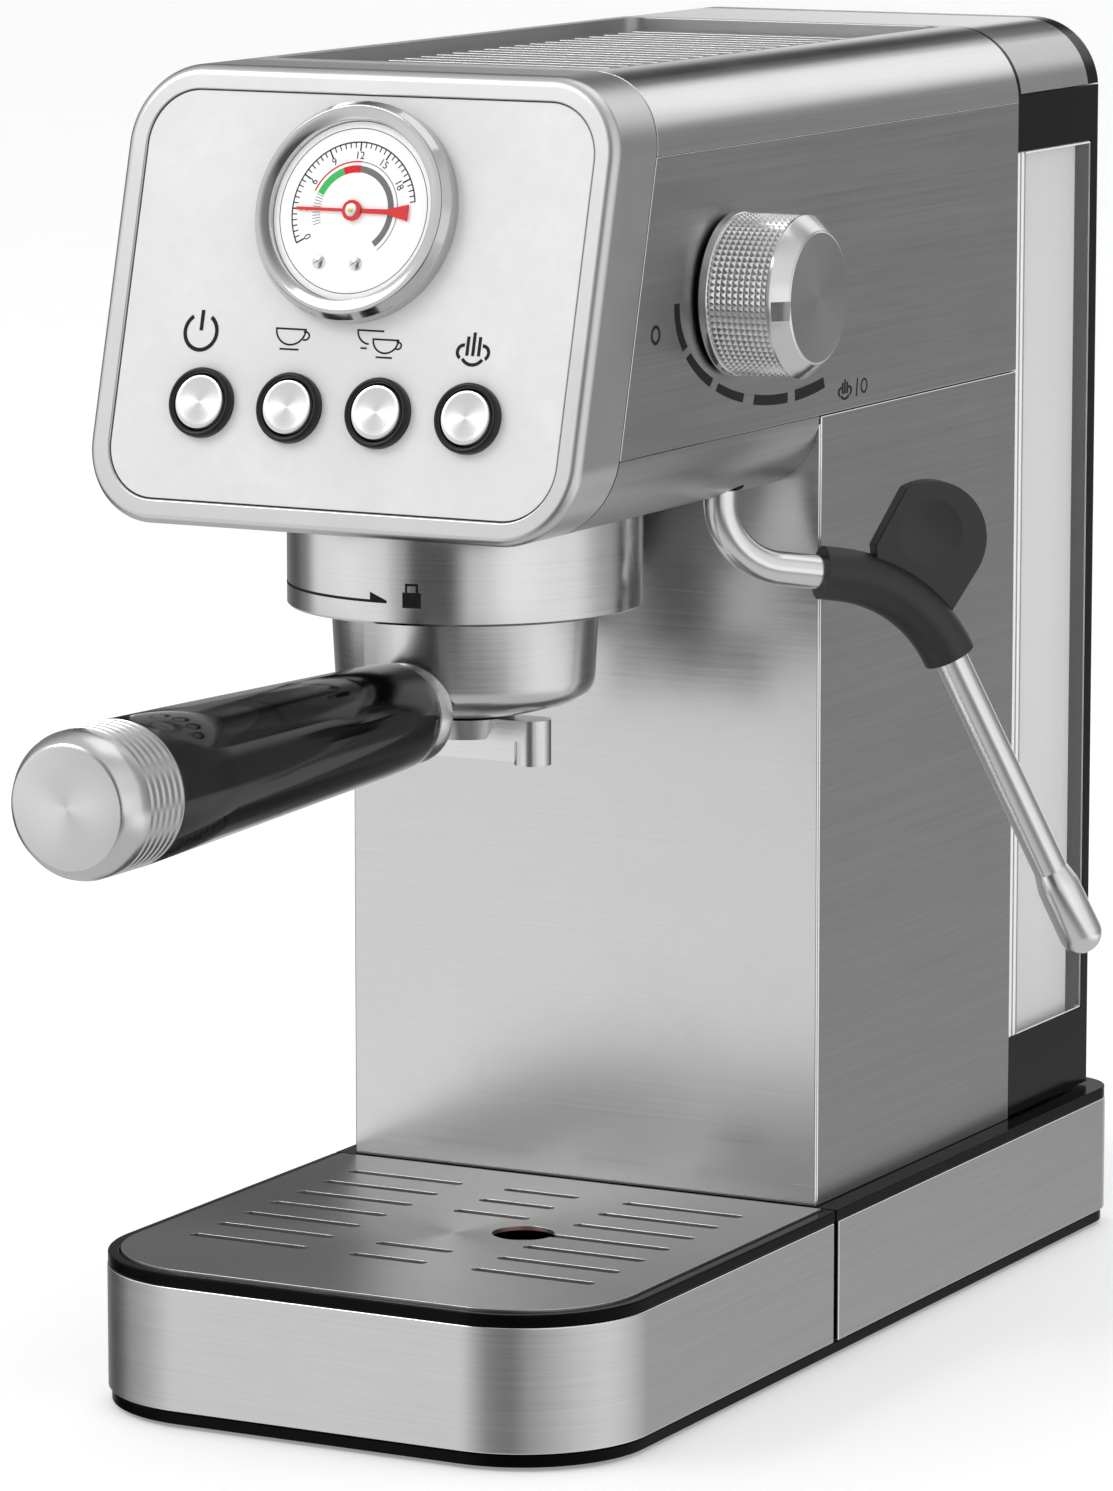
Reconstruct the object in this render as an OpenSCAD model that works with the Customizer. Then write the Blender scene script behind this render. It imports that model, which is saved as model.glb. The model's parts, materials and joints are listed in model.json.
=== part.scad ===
// Slim pump espresso machine: stands on four feet, handle and buttons face -Y, water tank at +Y.
// Origin: centre of the four feet, on the surface the machine stands on. +Z is up.

/* [Base] */
// Width of the base
base_w = 140; // [130:1:150]
// Depth of the base, front to back
base_d = 305.8; // [296:0.1:340]
// Y of the base's front edge
base_front = -160.6; // [-165:0.1:-150]
// Height of the base's top lip above the table
base_h = 37; // [34:0.5:40]
// Radius of the base's front corners
base_front_r = 32.4; // [24:0.2:36]
// Radius of the base's rear corners
base_rear_r = 12; // [8:1:24]
// Y of the joint between drip tray and rear base
seam_y = -27.4; // [-35:0.1:-20]
// Bottom edge of the steel band round the base
band_z0 = 4.3; // [4:0.1:6]
// Top edge of the steel band round the base
band_z1 = 34; // [30:0.5:34]

/* [Head and column] */
// Width of head and column
body_w = 128.1; // [120:0.5:130]
// Underside of the head above the table
head_z0 = 212.7; // [205:0.1:220]
// Height of the head
head_h = 104; // [96:1:110]
// Radius of the head's long edges
head_r = 18.4; // [12:0.2:22]
// Backward tilt of the front face in degrees
face_tilt = 15; // [5:1:20]
// Y of the front face's bottom edge
face_y = -156.3; // [-160:0.1:-150]
// Depth of the front bezel
bezel_d = 20.3; // [14:0.1:26]
// Width of the bezel's front edge
bezel_w = 5.6; // [4:0.1:8]
// Lower edge of the head's side panels
side_z0 = 230.4; // [230:0.1:236]
// Upper edge of the head's side panels
side_z1 = 298.2; // [290:0.1:300]
// Thickness of the steel skins
skin = 1.2; // [0.8:0.1:2]

/* [Water tank] */
// Front face of the tank
tank_y = 86.9; // [80:0.1:90]
// Back face of the tank
tank_back = 137.3; // [130:0.1:145]
// Joint between tank and lid
lid_z = 300; // [298:0.1:302]

/* [Group and portafilter] */
// Y of the brewing group's upright axis
group_y = -86.8; // [-90:0.1:-80]
// Outer radius of the group collar
collar_r = 42.1; // [40:0.1:44]
// Bottom of the group collar
collar_z = 188.9; // [186:0.1:192]
// Outer radius of the portafilter bowl at its bottom
bowl_r = 30.6; // [29:0.1:31]
// Height of the handle's axis
handle_z = 166.4; // [160:0.1:170]
// Distance from the group axis to the handle's end
handle_l = 179.2; // [150:1:185]
// Radius of the handle at its thick end
handle_r = 16.6; // [14:0.1:18]

/* [Controls] */
// Distance between neighbouring buttons
button_pitch = 23.2; // [20:0.1:24]
// Height of the buttons up the sloping face
button_v = 28.8; // [24:0.1:32]
// Radius of a button's cap
button_r = 6.45; // [5:0.05:7]
// How far a button travels
button_travel = 1.5; // [1:0.1:1.5]
// Height of the gauge's centre up the sloping face
gauge_v = 74.5; // [70:0.5:76]
// Outer radius of the gauge's ring
gauge_r = 25.5; // [24:0.1:26]
// Y of the steam knob's axis
knob_y = -75.7; // [-90:0.1:-60]
// Height of the steam knob's axis
knob_z = 264; // [255:0.5:270]
// Radius of the steam knob
knob_r = 19; // [16:0.5:20]

/* [Steam wand] */
// Place of the wand's swivel axis, X
wand_x = 51; // [48:0.5:52]
// Place of the wand's swivel axis, Y
wand_y = -54.2; // [-60:0.2:-50]
// Direction of the stored wand, in degrees from +X towards +Y
wand_turn = 45; // [20:1:47]
// Radius of the wand's tube
wand_r = 4.1; // [3:0.1:4.5]

/* [Hidden] */
$fn = 72;

head_top = head_z0 + head_h;
face_cos = cos(face_tilt);
bezel_w0 = -bezel_d * face_cos;          // bezel's back plane, measured square to the face
side_x = body_w / 2;
sheet = 0.8;                             // steel band round the base
tray_end = seam_y - 0.6;
foot_x = 48;
foot_y = 118;
base_back = base_front + base_d;
foot_bore = 2.2;
lip = 2.9;                               // black rim seen round the drip grid
grid_top = base_h + 0.5;
grid_ledge = base_h - 2.3;
float_x = 15;
float_y = -86;
slot_rows = 7;
slot_pitch = 12.85;
slot_y0 = -123.8;
slot_r = 1.5;
recess_x = 45;
recess_y0 = -101;
recess_y1 = 84;
recess_deep = 4.6;
rib_pitch = 8;
port_top = 205.8;                          // rim of the portafilter under the gasket
lug_z = 200.5;
tank_in = 1.3;                           // tank wall steps in this far behind its frame
tank_wall = 2.2;
foot_top = 58;
band_bot = 285.5;
tank_bot = 37.6;
valve_y = 112;
hinge_y = tank_back + 2.6;
valve_x = side_x - 26;
frame_x = side_x - skin - 2.7;           // the plate that carries the works stays inside the head's corners
frame_z = 222.7;
dial_w = 2.8;                            // front of the gauge's dial above the sloping face
switch_w = -9.8;                         // top of a push switch behind the sloping face
pump_y = 40;
pump_x = 12;

// Rounded rectangle standing on Y = 0, centred on X = 0
module rounded(w, h, r) {
    translate([-w / 2, r]) square([w, h - 2 * r]);
    translate([-w / 2 + r, 0]) square([w - 2 * r, h]);
    for (x = [-1, 1], y = [r, h - r]) translate([x * (w / 2 - r), y]) circle(r);
}
// Outline of the base, drawn in by a given amount
module base_outline(inset) {
    x = base_w / 2 - inset;
    y0 = base_front + inset;
    y1 = base_back - inset;
    rf = base_front_r - inset;
    rr = base_rear_r - inset;
    translate([-x, y0 + rf]) square([2 * x, y1 - y0 - rf - rr]);
    translate([-x + rf, y0]) square([2 * (x - rf), rf]);
    translate([-x + rr, y1 - rr]) square([2 * (x - rr), rr]);
    for (s = [-1, 1]) {
        translate([s * (x - rf), y0 + rf]) circle(rf);
        translate([s * (x - rr), y1 - rr]) circle(rr);
    }
}
module base_slab(inset, z0, z1, y0, y1) {
    translate([0, 0, z0]) linear_extrude(z1 - z0) intersection() {
        base_outline(inset);
        translate([-base_w, y0]) square([2 * base_w, y1 - y0]);
    }
}
module front_slab(inset, z0, z1, end = tray_end) base_slab(inset, z0, z1, -base_d, end);
module rear_slab(inset, z0, z1, start = seam_y) base_slab(inset, z0, z1, start, base_d);
// Extrudes an X-Z outline from y0 to y1
module along_y(y0, y1) translate([0, y1, 0]) rotate([90, 0, 0]) linear_extrude(y1 - y0) children();
module along_x(x0, x1) translate([x0, 0, 0]) rotate([90, 0, 90]) linear_extrude(x1 - x0) children();
// Cross-section of the head, drawn in by a given amount
module head_outline(inset = 0)
    translate([0, head_z0 + inset]) rounded(body_w - 2 * inset, head_h - 2 * inset, head_r - inset);
// Puts its children on the sloping face: X across, Y up the slope, Z out of the face
module on_face() translate([0, face_y, head_z0]) rotate([90 - face_tilt, 0, 0]) children();
module face_slab(w0, w1) on_face() translate([-90, -80, w0]) cube([180, 260, w1 - w0]);
module head_solid(inset, y1) along_y(face_y - 5, y1) head_outline(inset);
module head_skin(y1) difference() {
    head_solid(0, y1);
    along_y(face_y - 6, y1 + 1) head_outline(skin);
}
module ring(r, bore, h) difference() {
    cylinder(r = r, h = h);
    translate([0, 0, -1]) cylinder(r = bore, h = h + 2);
}
module at_group(z) translate([0, group_y, z]) children();
// Round hose through a list of points, with a slightly fatter ball at each bend
module hose(points, r) {
    for (i = [0 : len(points) - 2]) {
        run = points[i + 1] - points[i];
        translate(points[i]) rotate([0, acos(run.z / norm(run)), atan2(run.y, run.x)])
            cylinder(r = r, h = norm(run));
    }
    for (i = [1 : 1 : len(points) - 2]) translate(points[i]) sphere(1.12 * r);
}

// ---- Base ----
module base_pan() color("#151515") difference() {
    base_slab(0.8, 1, 3.9, -base_d, base_d);
    feet_places() cylinder(r = 5, h = 9, center = true);
}
module feet_places() for (x = [-1, 1], y = [-1, 1]) translate([x * foot_x, y * foot_y, 0]) children();
module rubber_feet() color("#222222") feet_places() difference() {
    union() {
        cylinder(r = 10, h = 1);
        cylinder(r = 5, h = 3.6);
    }
    translate([0, 0, -1]) cylinder(r = foot_bore, h = 6);
}
module base_housing() color("#101010") difference() {
    union() {
        rear_slab(sheet + 0.1, 4, band_z1);
        rear_slab(0.15, band_z1 + 0.1, base_h);
        rear_slab(sheet + 0.1, band_z1 - 0.1, band_z1 + 0.2);
    }
    base_slab(3.2, 3, band_z1 - 0.4, seam_y + 2.4, base_d);
    translate([-50, seam_y + 6, 30]) cube([100, tank_y - seam_y - 12, 20]);
    translate([0, valve_y, 30]) cylinder(r = 7, h = 20);
    translate([-40, base_back, 19]) rotate([90, 0, 0]) cylinder(r = 7, h = 30, center = true);
}
module rear_band() color("silver") difference() {
    rear_slab(0, band_z0, band_z1, seam_y + 1.2);
    rear_slab(sheet, band_z0 - 1, band_z1 + 1, seam_y);
    translate([-40, base_back, 19]) rotate([90, 0, 0]) cylinder(r = 7, h = 8, center = true);
}
module cord_gland() color("#181818") translate([-40, base_back, 19]) rotate([-90, 0, 0]) difference() {
    union() {
        translate([0, 0, -8]) cylinder(r = 6.9, h = 8.1);
        cylinder(r = 9, h = 2.5);
    }
    translate([0, 0, -9]) cylinder(r = 3.6, h = 13);
}

// ---- Drip tray ----
module drip_tray() color("#121212") difference() {
    union() {
        front_slab(sheet + 0.1, 4.2, band_z1 + 0.2);
        front_slab(0.15, band_z1 + 0.1, base_h);
    }
    front_slab(4.6, 6.4, base_h + 1, tray_end - 2.6);
    front_slab(lip, grid_ledge, base_h + 1, tray_end - 1.3);
}
module tray_band() color("silver") difference() {
    front_slab(0, band_z0, band_z1, tray_end - 0.8);
    front_slab(sheet, band_z0 - 1, band_z1 + 1, tray_end);
}
function slot_ends(column, row) = column == 0 ? [-55, -23] : column == 2 ? [21.5, 53.8]
    : (row == 2 || row == 3) ? [] : [-11.2, 9.3];
module drip_grid() color("#8f8f8f") difference() {
    union() {
        front_slab(lip + 0.35, grid_top - 1.1, grid_top, tray_end - 1.65);
        front_slab(lip + 0.35, grid_ledge + 0.3, grid_top - 1, tray_end - 1.65);
    }
    front_slab(lip + 1.5, grid_ledge - 1, grid_top - 1.1, tray_end - 2.8);
    for (column = [0 : 2], row = [0 : slot_rows - 1]) {
        e = slot_ends(column, row);
        if (len(e) == 2) translate([0, slot_y0 + row * slot_pitch, grid_top - 3]) linear_extrude(4) {
            translate([e[0] + slot_r, -slot_r]) square([e[1] - e[0] - 2 * slot_r, 2 * slot_r]);
            for (x = [e[0] + slot_r, e[1] - slot_r]) translate([x, 0]) circle(slot_r);
        }
    }
    translate([float_x, float_y, grid_top - 3]) cylinder(r = 7.5, h = 4);
}
module tray_float() color("#b3261e") translate([float_x, float_y, 0]) {
    translate([0, 0, 6.8]) cylinder(r = 9.5, h = 9);
    translate([0, 0, 15]) cylinder(r = 6.4, h = grid_top - 3 - 15);
}

// ---- Column ----
module column_front() color("#b9b9b9") difference() {
    translate([-side_x, seam_y, base_h]) cube([body_w, 1, side_z0 - 2 - base_h]);
    translate([-frame_x - 0.3, seam_y - 1, frame_z - 0.3]) cube([2 * frame_x + 0.6, 3, 20]);
}
module column_side(s) translate([s * (side_x - skin / 2), (seam_y + 1.1 + tank_y) / 2, 0])
    translate([-skin / 2, -(tank_y - seam_y - 1.1) / 2, base_h])
    cube([skin, tank_y - seam_y - 1.1, side_z0 - 0.15 - base_h]);
module column_side_left() color("#a8a8a8") column_side(-1);
module column_side_right() color("#a8a8a8") column_side(1);
module rear_cover() color("#1b1b1b") along_y(tank_y - 2, tank_y - 0.4) {
    translate([-side_x + skin + 0.1, base_h]) square([body_w - 2 * skin - 0.2, side_z0 + 20 - base_h]);
    head_outline(skin + 0.1);
}

// ---- Head ----
module head_belly() color("#9c9c9c") difference() {
    head_skin(seam_y - 0.1);
    translate([-100, -300, side_z0]) cube([200, 600, 200]);
    face_slab(bezel_w0, 60);
    at_group(head_z0 - 5) cylinder(r = 37, h = 12);
    translate([wand_x, wand_y, head_z0 - 5]) cylinder(r = 5.6, h = 30);
}
module head_side(s) difference() {
    head_skin(tank_y);
    translate([-100, -300, side_z0 + 0.15 - 200]) cube([200, 600, 200]);
    translate([-100, -300, side_z1 - 0.15]) cube([200, 600, 200]);
    translate([s > 0 ? -200 : 0, -300, 0]) cube([200, 600, 400]);
    face_slab(bezel_w0, 60);
    if (s > 0) translate([side_x, knob_y, knob_z]) rotate([0, 90, 0]) cylinder(r = 4.5, h = 8, center = true);
}
module head_side_left() color("#8f8f8f") head_side(-1);
module head_side_right() color("#8f8f8f") head_side(1);
module recess(inset, z0, z1) translate([0, recess_y0 + inset, z0]) linear_extrude(z1 - z0)
    rounded(2 * (recess_x - inset), recess_y1 - recess_y0 - 2 * inset, 6 - inset);
module head_roof() color("#c0c0c0") difference() {
    head_skin(tank_y);
    translate([-100, -300, side_z1 - 200]) cube([200, 600, 200]);
    face_slab(bezel_w0, 60);
    recess(0, head_top - 4, head_top + 4);
}
module cup_tray() color("#8a8a8a") {
    difference() {
        recess(0.1, head_top - recess_deep - 1, head_top);
        recess(1.1, head_top - recess_deep, head_top + 1);
    }
    for (y = [recess_y0 + 14 : rib_pitch : recess_y1 - 10])
        translate([-recess_x + 7, y, head_top - recess_deep - 0.5]) cube([2 * recess_x - 14, 3, 2.1]);
}
module front_bezel() color("#d9d9d9") intersection() {
    difference() {
        head_solid(0, 0);
        along_y(face_y - 6, 1) head_outline(bezel_w + 3.5);
        intersection() {
            along_y(face_y - 6, 1) head_outline(bezel_w);
            face_slab(-3.2, 60);
        }
    }
    face_slab(bezel_w0 + 0.3, 0);
}
module button_places() for (i = [0 : 3]) translate([(i - 1.5) * button_pitch, button_v, 0]) children();
module front_panel() color("#ececec") difference() {
    intersection() {
        head_solid(bezel_w + 0.3, 0);
        face_slab(-3.1, -0.3);
    }
    on_face() {
        translate([0, gauge_v, -5]) cylinder(r = 23.2, h = 10);
        button_places() translate([0, 0, -5]) cylinder(r = 7.7, h = 10);
    }
}
module head_frame() color("#30302e") difference() {
    translate([-frame_x, -112, frame_z]) cube([2 * frame_x, tank_y - 4 + 112, 3]);
    at_group(220) cylinder(r = 26, h = 10);
    translate([wand_x, wand_y, 220]) cylinder(r = 8.6, h = 10);
    translate([-46, 14, 220]) cube([92, 60, 10]);
}

// ---- Pressure gauge ----
module at_gauge(w) on_face() translate([0, gauge_v, w]) children();
module gauge_ring() color("#dddddd") at_gauge(-0.3) rotate_extrude() polygon([[21.3, 0], [gauge_r, 0],
    [gauge_r, 3.6], [gauge_r - 1.4, 5.6], [22.6, 5.6], [20.8, 4.9], [20.8, 1.2], [21.3, 1.2]]);
module gauge_case() color("#3a3a3a") at_gauge(-12) difference() {
    union() {
        ring(23, 21.8, 11.6);
        cylinder(r = 23, h = 1.4);
        cylinder(r = 4, h = 11.7);
    }
    translate([0, 0, 3]) cylinder(r = 0.85, h = 12);
}
module gauge_dial() color("white") at_gauge(dial_w - 0.7) ring(20.7, 1.1, 0.7);
module gauge_glass() color([0.8, 0.9, 0.95, 0.3]) at_gauge(dial_w + 1.3)
    cylinder(r = 20.7, h = 0.8);
module gauge_needle() color("#d01f1f") at_gauge(dial_w) {
    translate([0, 0, -9.6]) cylinder(r = 0.8, h = 10.2);
    translate([0, 0, 0.3]) cylinder(r = 2.4, h = 0.8);
    translate([-14.6, -0.35, 0.35]) cube([14.2, 0.7, 0.4]);
    translate([0, 0, 0.35]) linear_extrude(0.4) polygon([[1, -0.5], [9, -0.6], [14.5, -1.9], [14.5, 1.9],
        [9, 0.6], [1, 0.5]]);
}

// ---- Buttons ----
module button(i) on_face() translate([(i - 1.5) * button_pitch, button_v, 0]) {
    translate([0, 0, -3.6]) cylinder(r = button_r, h = 5.6);
    translate([0, 0, switch_w + button_travel + 0.3]) cylinder(r = 2.5, h = 5);
}
module power_button() color("#e8e8e8") button(0);
module one_cup_button() color("#e8e8e8") button(1);
module two_cup_button() color("#e8e8e8") button(2);
module steam_button() color("#e8e8e8") button(3);
module button_rings() color("#161616") on_face() button_places() {
    translate([0, 0, -0.3]) ring(8.5, button_r + 0.3, 2.8);
    translate([0, 0, -3]) ring(7.6, button_r + 0.3, 3);
}
module control_board() color("#1f5a33") on_face() {
    translate([-46, 17, -13.4]) cube([92, 23, 1.6]);
    button_places() translate([-3, -3, -12]) cube([6, 6, 12 + switch_w]);
    for (s = [-1, 1]) translate([s * 43, 20, -12]) cylinder(r = 2, h = 8.6);
}

// ---- Steam valve and knob ----
module at_knob(x) translate([x, knob_y, knob_z]) rotate([0, 90, 0]) children();
module steam_knob() color("#cfcfcf") difference() {
    at_knob(side_x + 0.5) {
        cylinder(r = knob_r - 0.5, h = 1.2);
        translate([0, 0, 1.2]) cylinder(r = knob_r, h = 19.3);
        translate([0, 0, 20.5]) cylinder(r1 = knob_r - 0.2, r2 = knob_r - 3.8, h = 1.9);
    }
    at_knob(side_x - 1) cylinder(r = 3.1, h = 16);
    translate([side_x + 19.6, knob_y - knob_r - 1, knob_z - 4]) cube([5, 2.6, 4.6]);
}
module valve_spindle() color("#b08d3c") at_knob(valve_x + 4) cylinder(r = 3.05, h = 36.8);
module steam_valve() color("#b5a642") difference() {
    union() {
        at_knob(valve_x) cylinder(r = 9, h = 20);
        translate([valve_x + 9, knob_y, knob_z - 16]) cylinder(r = 4, h = 16);
    }
    at_knob(valve_x + 3.5) cylinder(r = 3.1, h = 40);
}

// ---- Brewing group ----
module group_collar() color("#bdbdbd") at_group(collar_z) difference() {
    ring(collar_r, 37.2, head_z0 - 0.1 - collar_z);
    translate([0, 0, -1]) cylinder(r1 = 38.6, r2 = 37.2, h = 2);
}
// Sector of a ring, from angle a0 to a1
module sector(r, bore, h, a0, a1) rotate([0, 0, a0]) rotate_extrude(angle = a1 - a0)
    translate([bore, 0]) square([r - bore, h]);
module group_head() color("#8c8c8c") at_group(0) {
    difference() {
        translate([0, 0, 195.3]) cylinder(r = 36.8, h = 27.1);
        translate([0, 0, 190]) cylinder(r = 36, h = 10.3 + 4.6);
        translate([0, 0, 204]) cylinder(r = 33.6, h = 8.2);
        translate([0, 0, 204]) cylinder(r = 3.05, h = 20);
    }
    translate([0, 0, 195.3]) for (a = [8, 188]) sector(36.4, 32.5, 4.8, a - 35, a + 105);
}
module group_gasket() color("#7a2c1e") at_group(206.3) ring(33.4, 27.6, 5.8);
module shower_screen() color("#c9c9c9") at_group(204.4) difference() {
    cylinder(r = 25.6, h = 1.2);
    translate([0, 0, -1]) cylinder(r = 3.05, h = 4);
    for (ring_r = [8, 14, 20], a = [0 : 30 : 330]) rotate([0, 0, a]) translate([ring_r, 0, -1])
        cylinder(r = 0.8, h = 4, $fn = 16);
}
module screen_screw() color("#dddddd") at_group(0) {
    translate([0, 0, 201.8]) cylinder(r = 5, h = 2.5);
    translate([0, 0, 203]) cylinder(r = 3, h = 14);
}
module boiler() color("#9aa0a6") at_group(0) {
    translate([0, 0, 222.6]) cylinder(r = 25.5, h = 4);
    translate([0, 0, 226]) cylinder(r = 40, h = 5);
    translate([0, 0, 230.9]) cylinder(r = 32, h = 56);
    translate([0, 0, 286.8]) cylinder(r = 34, h = 4);
    for (a = [45 : 90 : 315]) rotate([0, 0, a]) translate([28, 0, 290.7]) cylinder(r = 3, h = 3);
}

// ---- Pump and pipes ----
module pump() color("#c9b37a") translate([pump_x, pump_y, 0]) {
    translate([0, 0, 62]) cylinder(r = 4, h = 14.2);
    translate([0, 0, 76]) cylinder(r = 13, h = 94);
    translate([-23, -23, 96]) cube([46, 46, 48]);
    translate([0, 0, 169.8]) cylinder(r = 4, h = 14);
}
module pump_mounts() color("#262626") translate([pump_x, pump_y, 0]) {
    translate([0, 0, 84]) ring(21, 13.05, 9);
    translate([0, 0, 148]) ring(21, 13.05, 9);
}
module suction_hose() color("#dcdcdc") hose([[0, valve_y, 26.7], [0, valve_y, 18], [6, 60, 18],
    [pump_x, pump_y, 26], [pump_x, pump_y, 61.8]], 3.4);
module pressure_hose() color("#e8e8e8") hose([[pump_x, pump_y, 184], [pump_x, pump_y, 238],
    [pump_x, pump_y - 20, 262], [8, group_y + 50, 262], [6, group_y + 32.6, 262]], 3);
module steam_pipe() color("#c98f5a") hose([[valve_x + 9, knob_y, knob_z - 16.2],
    [valve_x + 9, knob_y, 242], [wand_x, wand_y, 242], [wand_x, wand_y, 234.3]], 2.2);

// ---- Steam wand ----
wand_arc1 = 82;          // turn from straight down to nearly level
wand_bend1 = 17;
wand_level = 15.5;       // length of the nearly level run
wand_bend2 = 36.6;
wand_arc2 = 55.6;
wand_drop = 83.6;        // last straight run, with its tip
wand_z1 = 212.5;         // height where the first bend starts
run_in = 0.3;            // how far a straight stretch enters the bend beside it
swell = 0.02;
sleeve_r = 6.4;
p1 = [wand_bend1 * (1 - cos(wand_arc1)), wand_z1 - wand_bend1 * sin(wand_arc1)];
h1 = wand_arc1 - 90;
p2 = p1 + wand_level * [cos(h1), sin(h1)];
c2 = p2 + wand_bend2 * [sin(h1), -cos(h1)];
h2 = h1 - wand_arc2;
p3 = c2 - wand_bend2 * [sin(h2), -cos(h2)];
// Works in the wand's upright plane: X outward from the swivel, Y up
module in_wand() translate([wand_x, wand_y, 0]) rotate([0, 0, wand_turn]) rotate([90, 0, 0]) children();
// Straight stretch of tube along a heading. It is a hair thicker than the bends and enters them a little.
module run_from(p, heading, start, length, r, bore) translate([p.x, p.y, 0]) rotate([0, 0, heading])
    translate([start - run_in, 0, 0]) rotate([0, 90, 0]) ring(r + swell, bore - swell, length + 2 * run_in);
module first_bend() translate([wand_bend1, wand_z1, 0]) rotate([0, 0, 180])
    rotate_extrude(angle = wand_arc1) translate([wand_bend1, 0]) children();
module second_bend() translate([c2.x, c2.y, 0]) rotate([0, 0, h2 + 90])
    rotate_extrude(angle = wand_arc2) translate([wand_bend2, 0]) children();
module tube_ring(r, bore) difference() {
    circle(r);
    circle(bore);
}
module wand_nut() color("#a89b5a") translate([wand_x, wand_y, 0]) difference() {
    union() {
        translate([0, 0, 219.6]) cylinder(r = 7, h = 14.6);
        translate([0, 0, 226]) cylinder(r = 10, h = 3);
    }
    translate([0, 0, 210]) cylinder(r = wand_r + 0.05, h = 22.4);
    translate([0, 0, 230]) cylinder(r = 1.2, h = 10);
}
module wand_tube() color("#d8d8d8") {
    translate([wand_x, wand_y, wand_z1 - run_in]) ring(wand_r + swell, wand_r - 1 - swell, 231 - wand_z1);
    in_wand() {
        first_bend() tube_ring(wand_r, wand_r - 1);
        run_from(p1, h1, 0, wand_level, wand_r, wand_r - 1);
        second_bend() tube_ring(wand_r, wand_r - 1);
        run_from(p3, h2, 0, wand_drop - 23.3, wand_r, wand_r - 1);
    }
}
module wand_sleeve() color("#1e1e1e") in_wand() {
    run_from(p1, h1, 10.7, wand_level - 10.7, sleeve_r, wand_r + 0.06);
    second_bend() tube_ring(sleeve_r, wand_r + 0.06);
    run_from(p3, h2, 0, 0.9, sleeve_r, wand_r + 0.06);
    difference() {
        translate([0, 0, -2.4]) linear_extrude(4.8) {
            translate([52.4, 201.2]) circle(14.2);
            polygon([[38.6, 197.4], [66.2, 197.6], [58.5, 178], [40, 191]]);
        }
        second_bend() circle(wand_r + 1);
    }
}
module wand_tip() color("#e2e2e2") in_wand() translate([p3.x, p3.y, 0]) rotate([0, 0, h2])
    rotate([0, 90, 0]) difference() {
        union() {
            translate([0, 0, wand_drop - 22.9]) cylinder(r1 = 4.2, r2 = 5.3, h = 5);
            translate([0, 0, wand_drop - 17.9]) cylinder(r = 5.3, h = 12.6);
            translate([0, 0, wand_drop - 5.3]) sphere(5.3);
        }
        translate([0, 0, wand_drop - 12]) cylinder(r = 0.9, h = 20);
    }

// ---- Portafilter ----
module portafilter_bowl() color("#a5a5a5") {
    at_group(0) difference() {
        union() {
            rotate_extrude() polygon([[0, 162.4], [12, 162.8], [26, 166.2], [29.6, 168.4],
                [bowl_r, 170.2], [31.8, 191], [31.8, port_top], [0, port_top]]);
            for (a = [8, 188]) rotate([0, 0, a]) translate([0, 0, lug_z])
                sector(35.4, 30, 3, -17, 17);
        }
        translate([0, 0, 173]) cylinder(r = 28.9, h = 40);
        translate([0, 0, 160]) cylinder(r = 3, h = 20);
    }
    handle_turned() {
        translate([0, 0, 29.2]) cylinder(r = 8, h = 15.8);
        translate([0, 0, 29.2]) cylinder(r1 = 12.2, r2 = 11.6, h = 3.7);
    }
}
module filter_basket() color("#d6d6d6") at_group(0) difference() {
    union() {
        translate([0, 0, 177]) cylinder(r = 28.6, h = port_top - 177);
        translate([0, 0, port_top]) cylinder(r = 31.4, h = 0.2);
    }
    translate([0, 0, 178]) cylinder(r = 27.9, h = 40);
}
// Outline of the handle: radius against distance from the group axis
module handle_outline(d0, d1, r0, r1, nose) {
    polygon([[0, d0], [r0 - nose, d0], [r0 - nose * 0.3, d0 + nose * 0.3], [r0, d0 + nose],
        [r1, d1], [0, d1]]);
}
module handle_turned() at_group(handle_z) rotate([90, 0, 0]) children();
module portafilter_handle() color("#0e0e0e") handle_turned() difference() {
    rotate_extrude() handle_outline(33, handle_l - 22, 12.4, handle_r, 4);
    cylinder(r = 8.05, h = 46);
}
module handle_cap() color("#c8c8c8") handle_turned() rotate_extrude() polygon(concat(
    [[0, handle_l - 21.9], [handle_r, handle_l - 21.9]],
    [for (i = [0 : 5], k = [[0.2, 0], [0.9, 0.45], [1.6, 0.45], [2.3, 0]])
        [handle_r + 0.1 - k[1], handle_l - 21.4 + i * 2.5 + k[0]]],
    [[handle_r, handle_l - 5.6], [13.8, handle_l], [0, handle_l]]));
module portafilter_spout() color("#b4b4b4") at_group(0) difference() {
    union() {
        translate([0, 0, 157.2]) cylinder(r1 = 9, r2 = 12, h = 5.1);
        translate([-18, -4.4, 157.2]) cube([36, 8.8, 5]);
        for (s = [-1, 1]) translate([s * 18, 0, 151.4]) cylinder(r = 4.4, h = 10.8);
        translate([-18, -1, 151.6]) cube([36, 2, 6]);
    }
    for (s = [-1, 1]) translate([s * 18, 0, 150]) cylinder(r = 2.8, h = 9);
    translate([0, 0, 159]) cylinder(r = 3, h = 6);
}

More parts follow.
